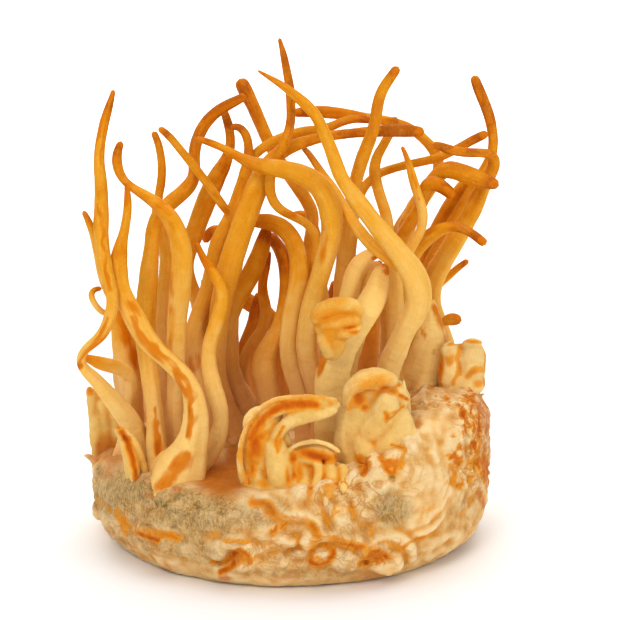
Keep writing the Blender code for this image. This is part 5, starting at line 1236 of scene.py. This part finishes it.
# ---------------------------------------------------------------------- cake
parts = [cake_body()]
for depth, rim_r, side, width, strength, line in FOLDS:
    if rim_r <= 0:
        continue
    c = polyline(line, 6)
    t = np.gradient(c, axis=0)
    t /= np.hypot(t[:, 0], t[:, 1])[:, None] + 1e-9
    off = c + np.stack([-t[:, 1], t[:, 0]], -1) * side * (width * 0.55 + rim_r / SQUARE * 0.75 if depth > 0 else 0)
    p = front_of_cake(off[:, 0], off[:, 1])
    ok = p[:, 1] < 20
    p = p[ok]
    if len(p) < 4:
        continue
    out = np.stack([p[:, 0], p[:, 1], np.zeros(len(p))], -1)
    out /= np.linalg.norm(out, axis=1)[:, None] + 1e-9
    lifted = np.stack([blur(p[:, k], 1) for k in range(3)], -1) + out * (0.45 * rim_r)
    rad = np.hypot(lifted[:, 0], lifted[:, 1])
    over = np.maximum(rad + rim_r - 41.9, 0)
    lifted -= out * over[:, None]
    lifted[:, 2] = np.maximum(lifted[:, 2], rim_r + 0.4)
    taper = 0.55 + 0.45 * np.sin(np.linspace(0.15, math.pi - 0.15, len(lifted)))
    parts.append(roll_at(lifted, rim_r * 1.65 * taper, 1.0, 12))
for k, (across, down, size) in enumerate(CRUMBS):
    at = front_of_cake([across - 3 if across > 300 else across + 3], [min(down, 572)])[0]
    if abs(at[1]) < 34 and at[2] > 0.5:
        rad = math.hypot(at[0], at[1])
        out = np.array([at[0], at[1], 0.0]) / rad
        lump = at + out * min(0.35, max(0.0, 40.9 - size * 0.1 - rad))
        turn = 2.4 * k
        step_by = np.array([-out[1] * math.cos(turn), out[0] * math.cos(turn), math.sin(turn)]) * size * 0.09
        parts.append(roll_at(np.stack([lump - step_by, lump, lump + step_by]), np.array([0.07, 0.12, 0.08]) * size, 1.0, 8))
# two little lips on the left edge
parts.append(roll([(104, 468), (95, 461), (88, 456), (83, 456)], [-6, -7, -8], [12, 9, 6, 5]))
parts.append(roll([(100, 520), (97, 508), (101, 498)], [-10, -10, -10], [9, 11, 8]))
cake_obj = merged("mycelium_cake_skin", parts, 0.46)
skin_up(cake_obj, RIND, ORANGE, CRUST, MOULD, VELVET, FOLDS, fine=0.12, floor=0.0)
made.append((cake_obj, "mycelium_cake", "mycelium"))

for piece, node, slot in made:
    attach(piece, "root")
    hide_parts(node)

# ----------------------------------------------------------- floor and lights
def stage():
    w, back, front_edge, high, bend = 3.0, 1.6, -1.6, 2.2, 0.6
    prof = [(front_edge, 0.0), (back - bend, 0.0)]
    prof += [(back - bend + bend * math.sin(a), bend - bend * math.cos(a)) for a in np.linspace(0, math.pi / 2, 16)[1:]]
    prof += [(back, high)]
    co = np.array([[x * 1000, y * 1000, z * 1000 - 0.02] for y, z in prof for x in (-w, w)])
    quads = [(2 * k, 2 * k + 1, 2 * k + 3, 2 * k + 2) for k in range(len(prof) - 1)]
    m = Nodes("pale_floor")
    tone = m.mix(m.noise(3.0, 2.0), (0.95, 0.95, 0.95, 1.0), (0.97, 0.97, 0.97, 1.0))
    m.link(tone, m.shader.inputs["Base Color"])
    m.shader.inputs["Roughness"].default_value = 0.9
    floor = add_mesh("floor", co, quads, (), None, m.mat)


def area(name, at, aim, size, power, color=(1, 1, 1)):
    data = bpy.data.lights.new(name, "AREA")
    data.shape = "RECTANGLE"
    data.size, data.size_y = size
    data.energy = power
    data.color = color
    obj = bpy.data.objects.new(name, data)
    obj.location = at
    obj.rotation_euler = (Vector(aim) - Vector(at)).to_track_quat("-Z", "Y").to_euler()
    bpy.context.scene.collection.objects.link(obj)


stage()
area("key", (-0.26, -0.66, 0.55), (0, 0, 0.05), (0.32, 0.32), 2.4, (1.0, 0.98, 0.95))
area("fill", (0.62, -0.45, 0.28), (0, 0, 0.05), (0.5, 0.5), 1.5, (1.0, 0.99, 0.98))
area("top", (0.0, 0.05, 0.80), (0, 0, 0.05), (0.9, 0.9), 3.7)
area("backdrop", (0.0, 0.75, 1.1), (0, 1.5, 0.5), (1.6, 0.5), 26.0)
world = bpy.data.worlds.new("studio")
world.use_nodes = True
world.node_tree.nodes["Background"].inputs["Color"].default_value = (1.0, 1.0, 1.0, 1.0)
world.node_tree.nodes["Background"].inputs["Strength"].default_value = 0.44
bpy.context.scene.world = world
bpy.context.scene.view_settings.view_transform = "Standard"

cam = bpy.data.cameras.new("camera")
cam.lens, cam.sensor_width = 100.0, 36.0
cam.clip_start, cam.clip_end = 0.01, 20.0
cam_obj = bpy.data.objects.new("camera", cam)
aim = Vector(BOARD_AIM) * 0.001
cam_obj.location = aim + Vector((0.0, -COS, SIN)) * SIGHT * 0.001
cam_obj.rotation_euler = (math.pi / 2 - BOARD_LEAN, 0.0, 0.0)
bpy.context.scene.collection.objects.link(cam_obj)
bpy.context.scene.camera = cam_obj
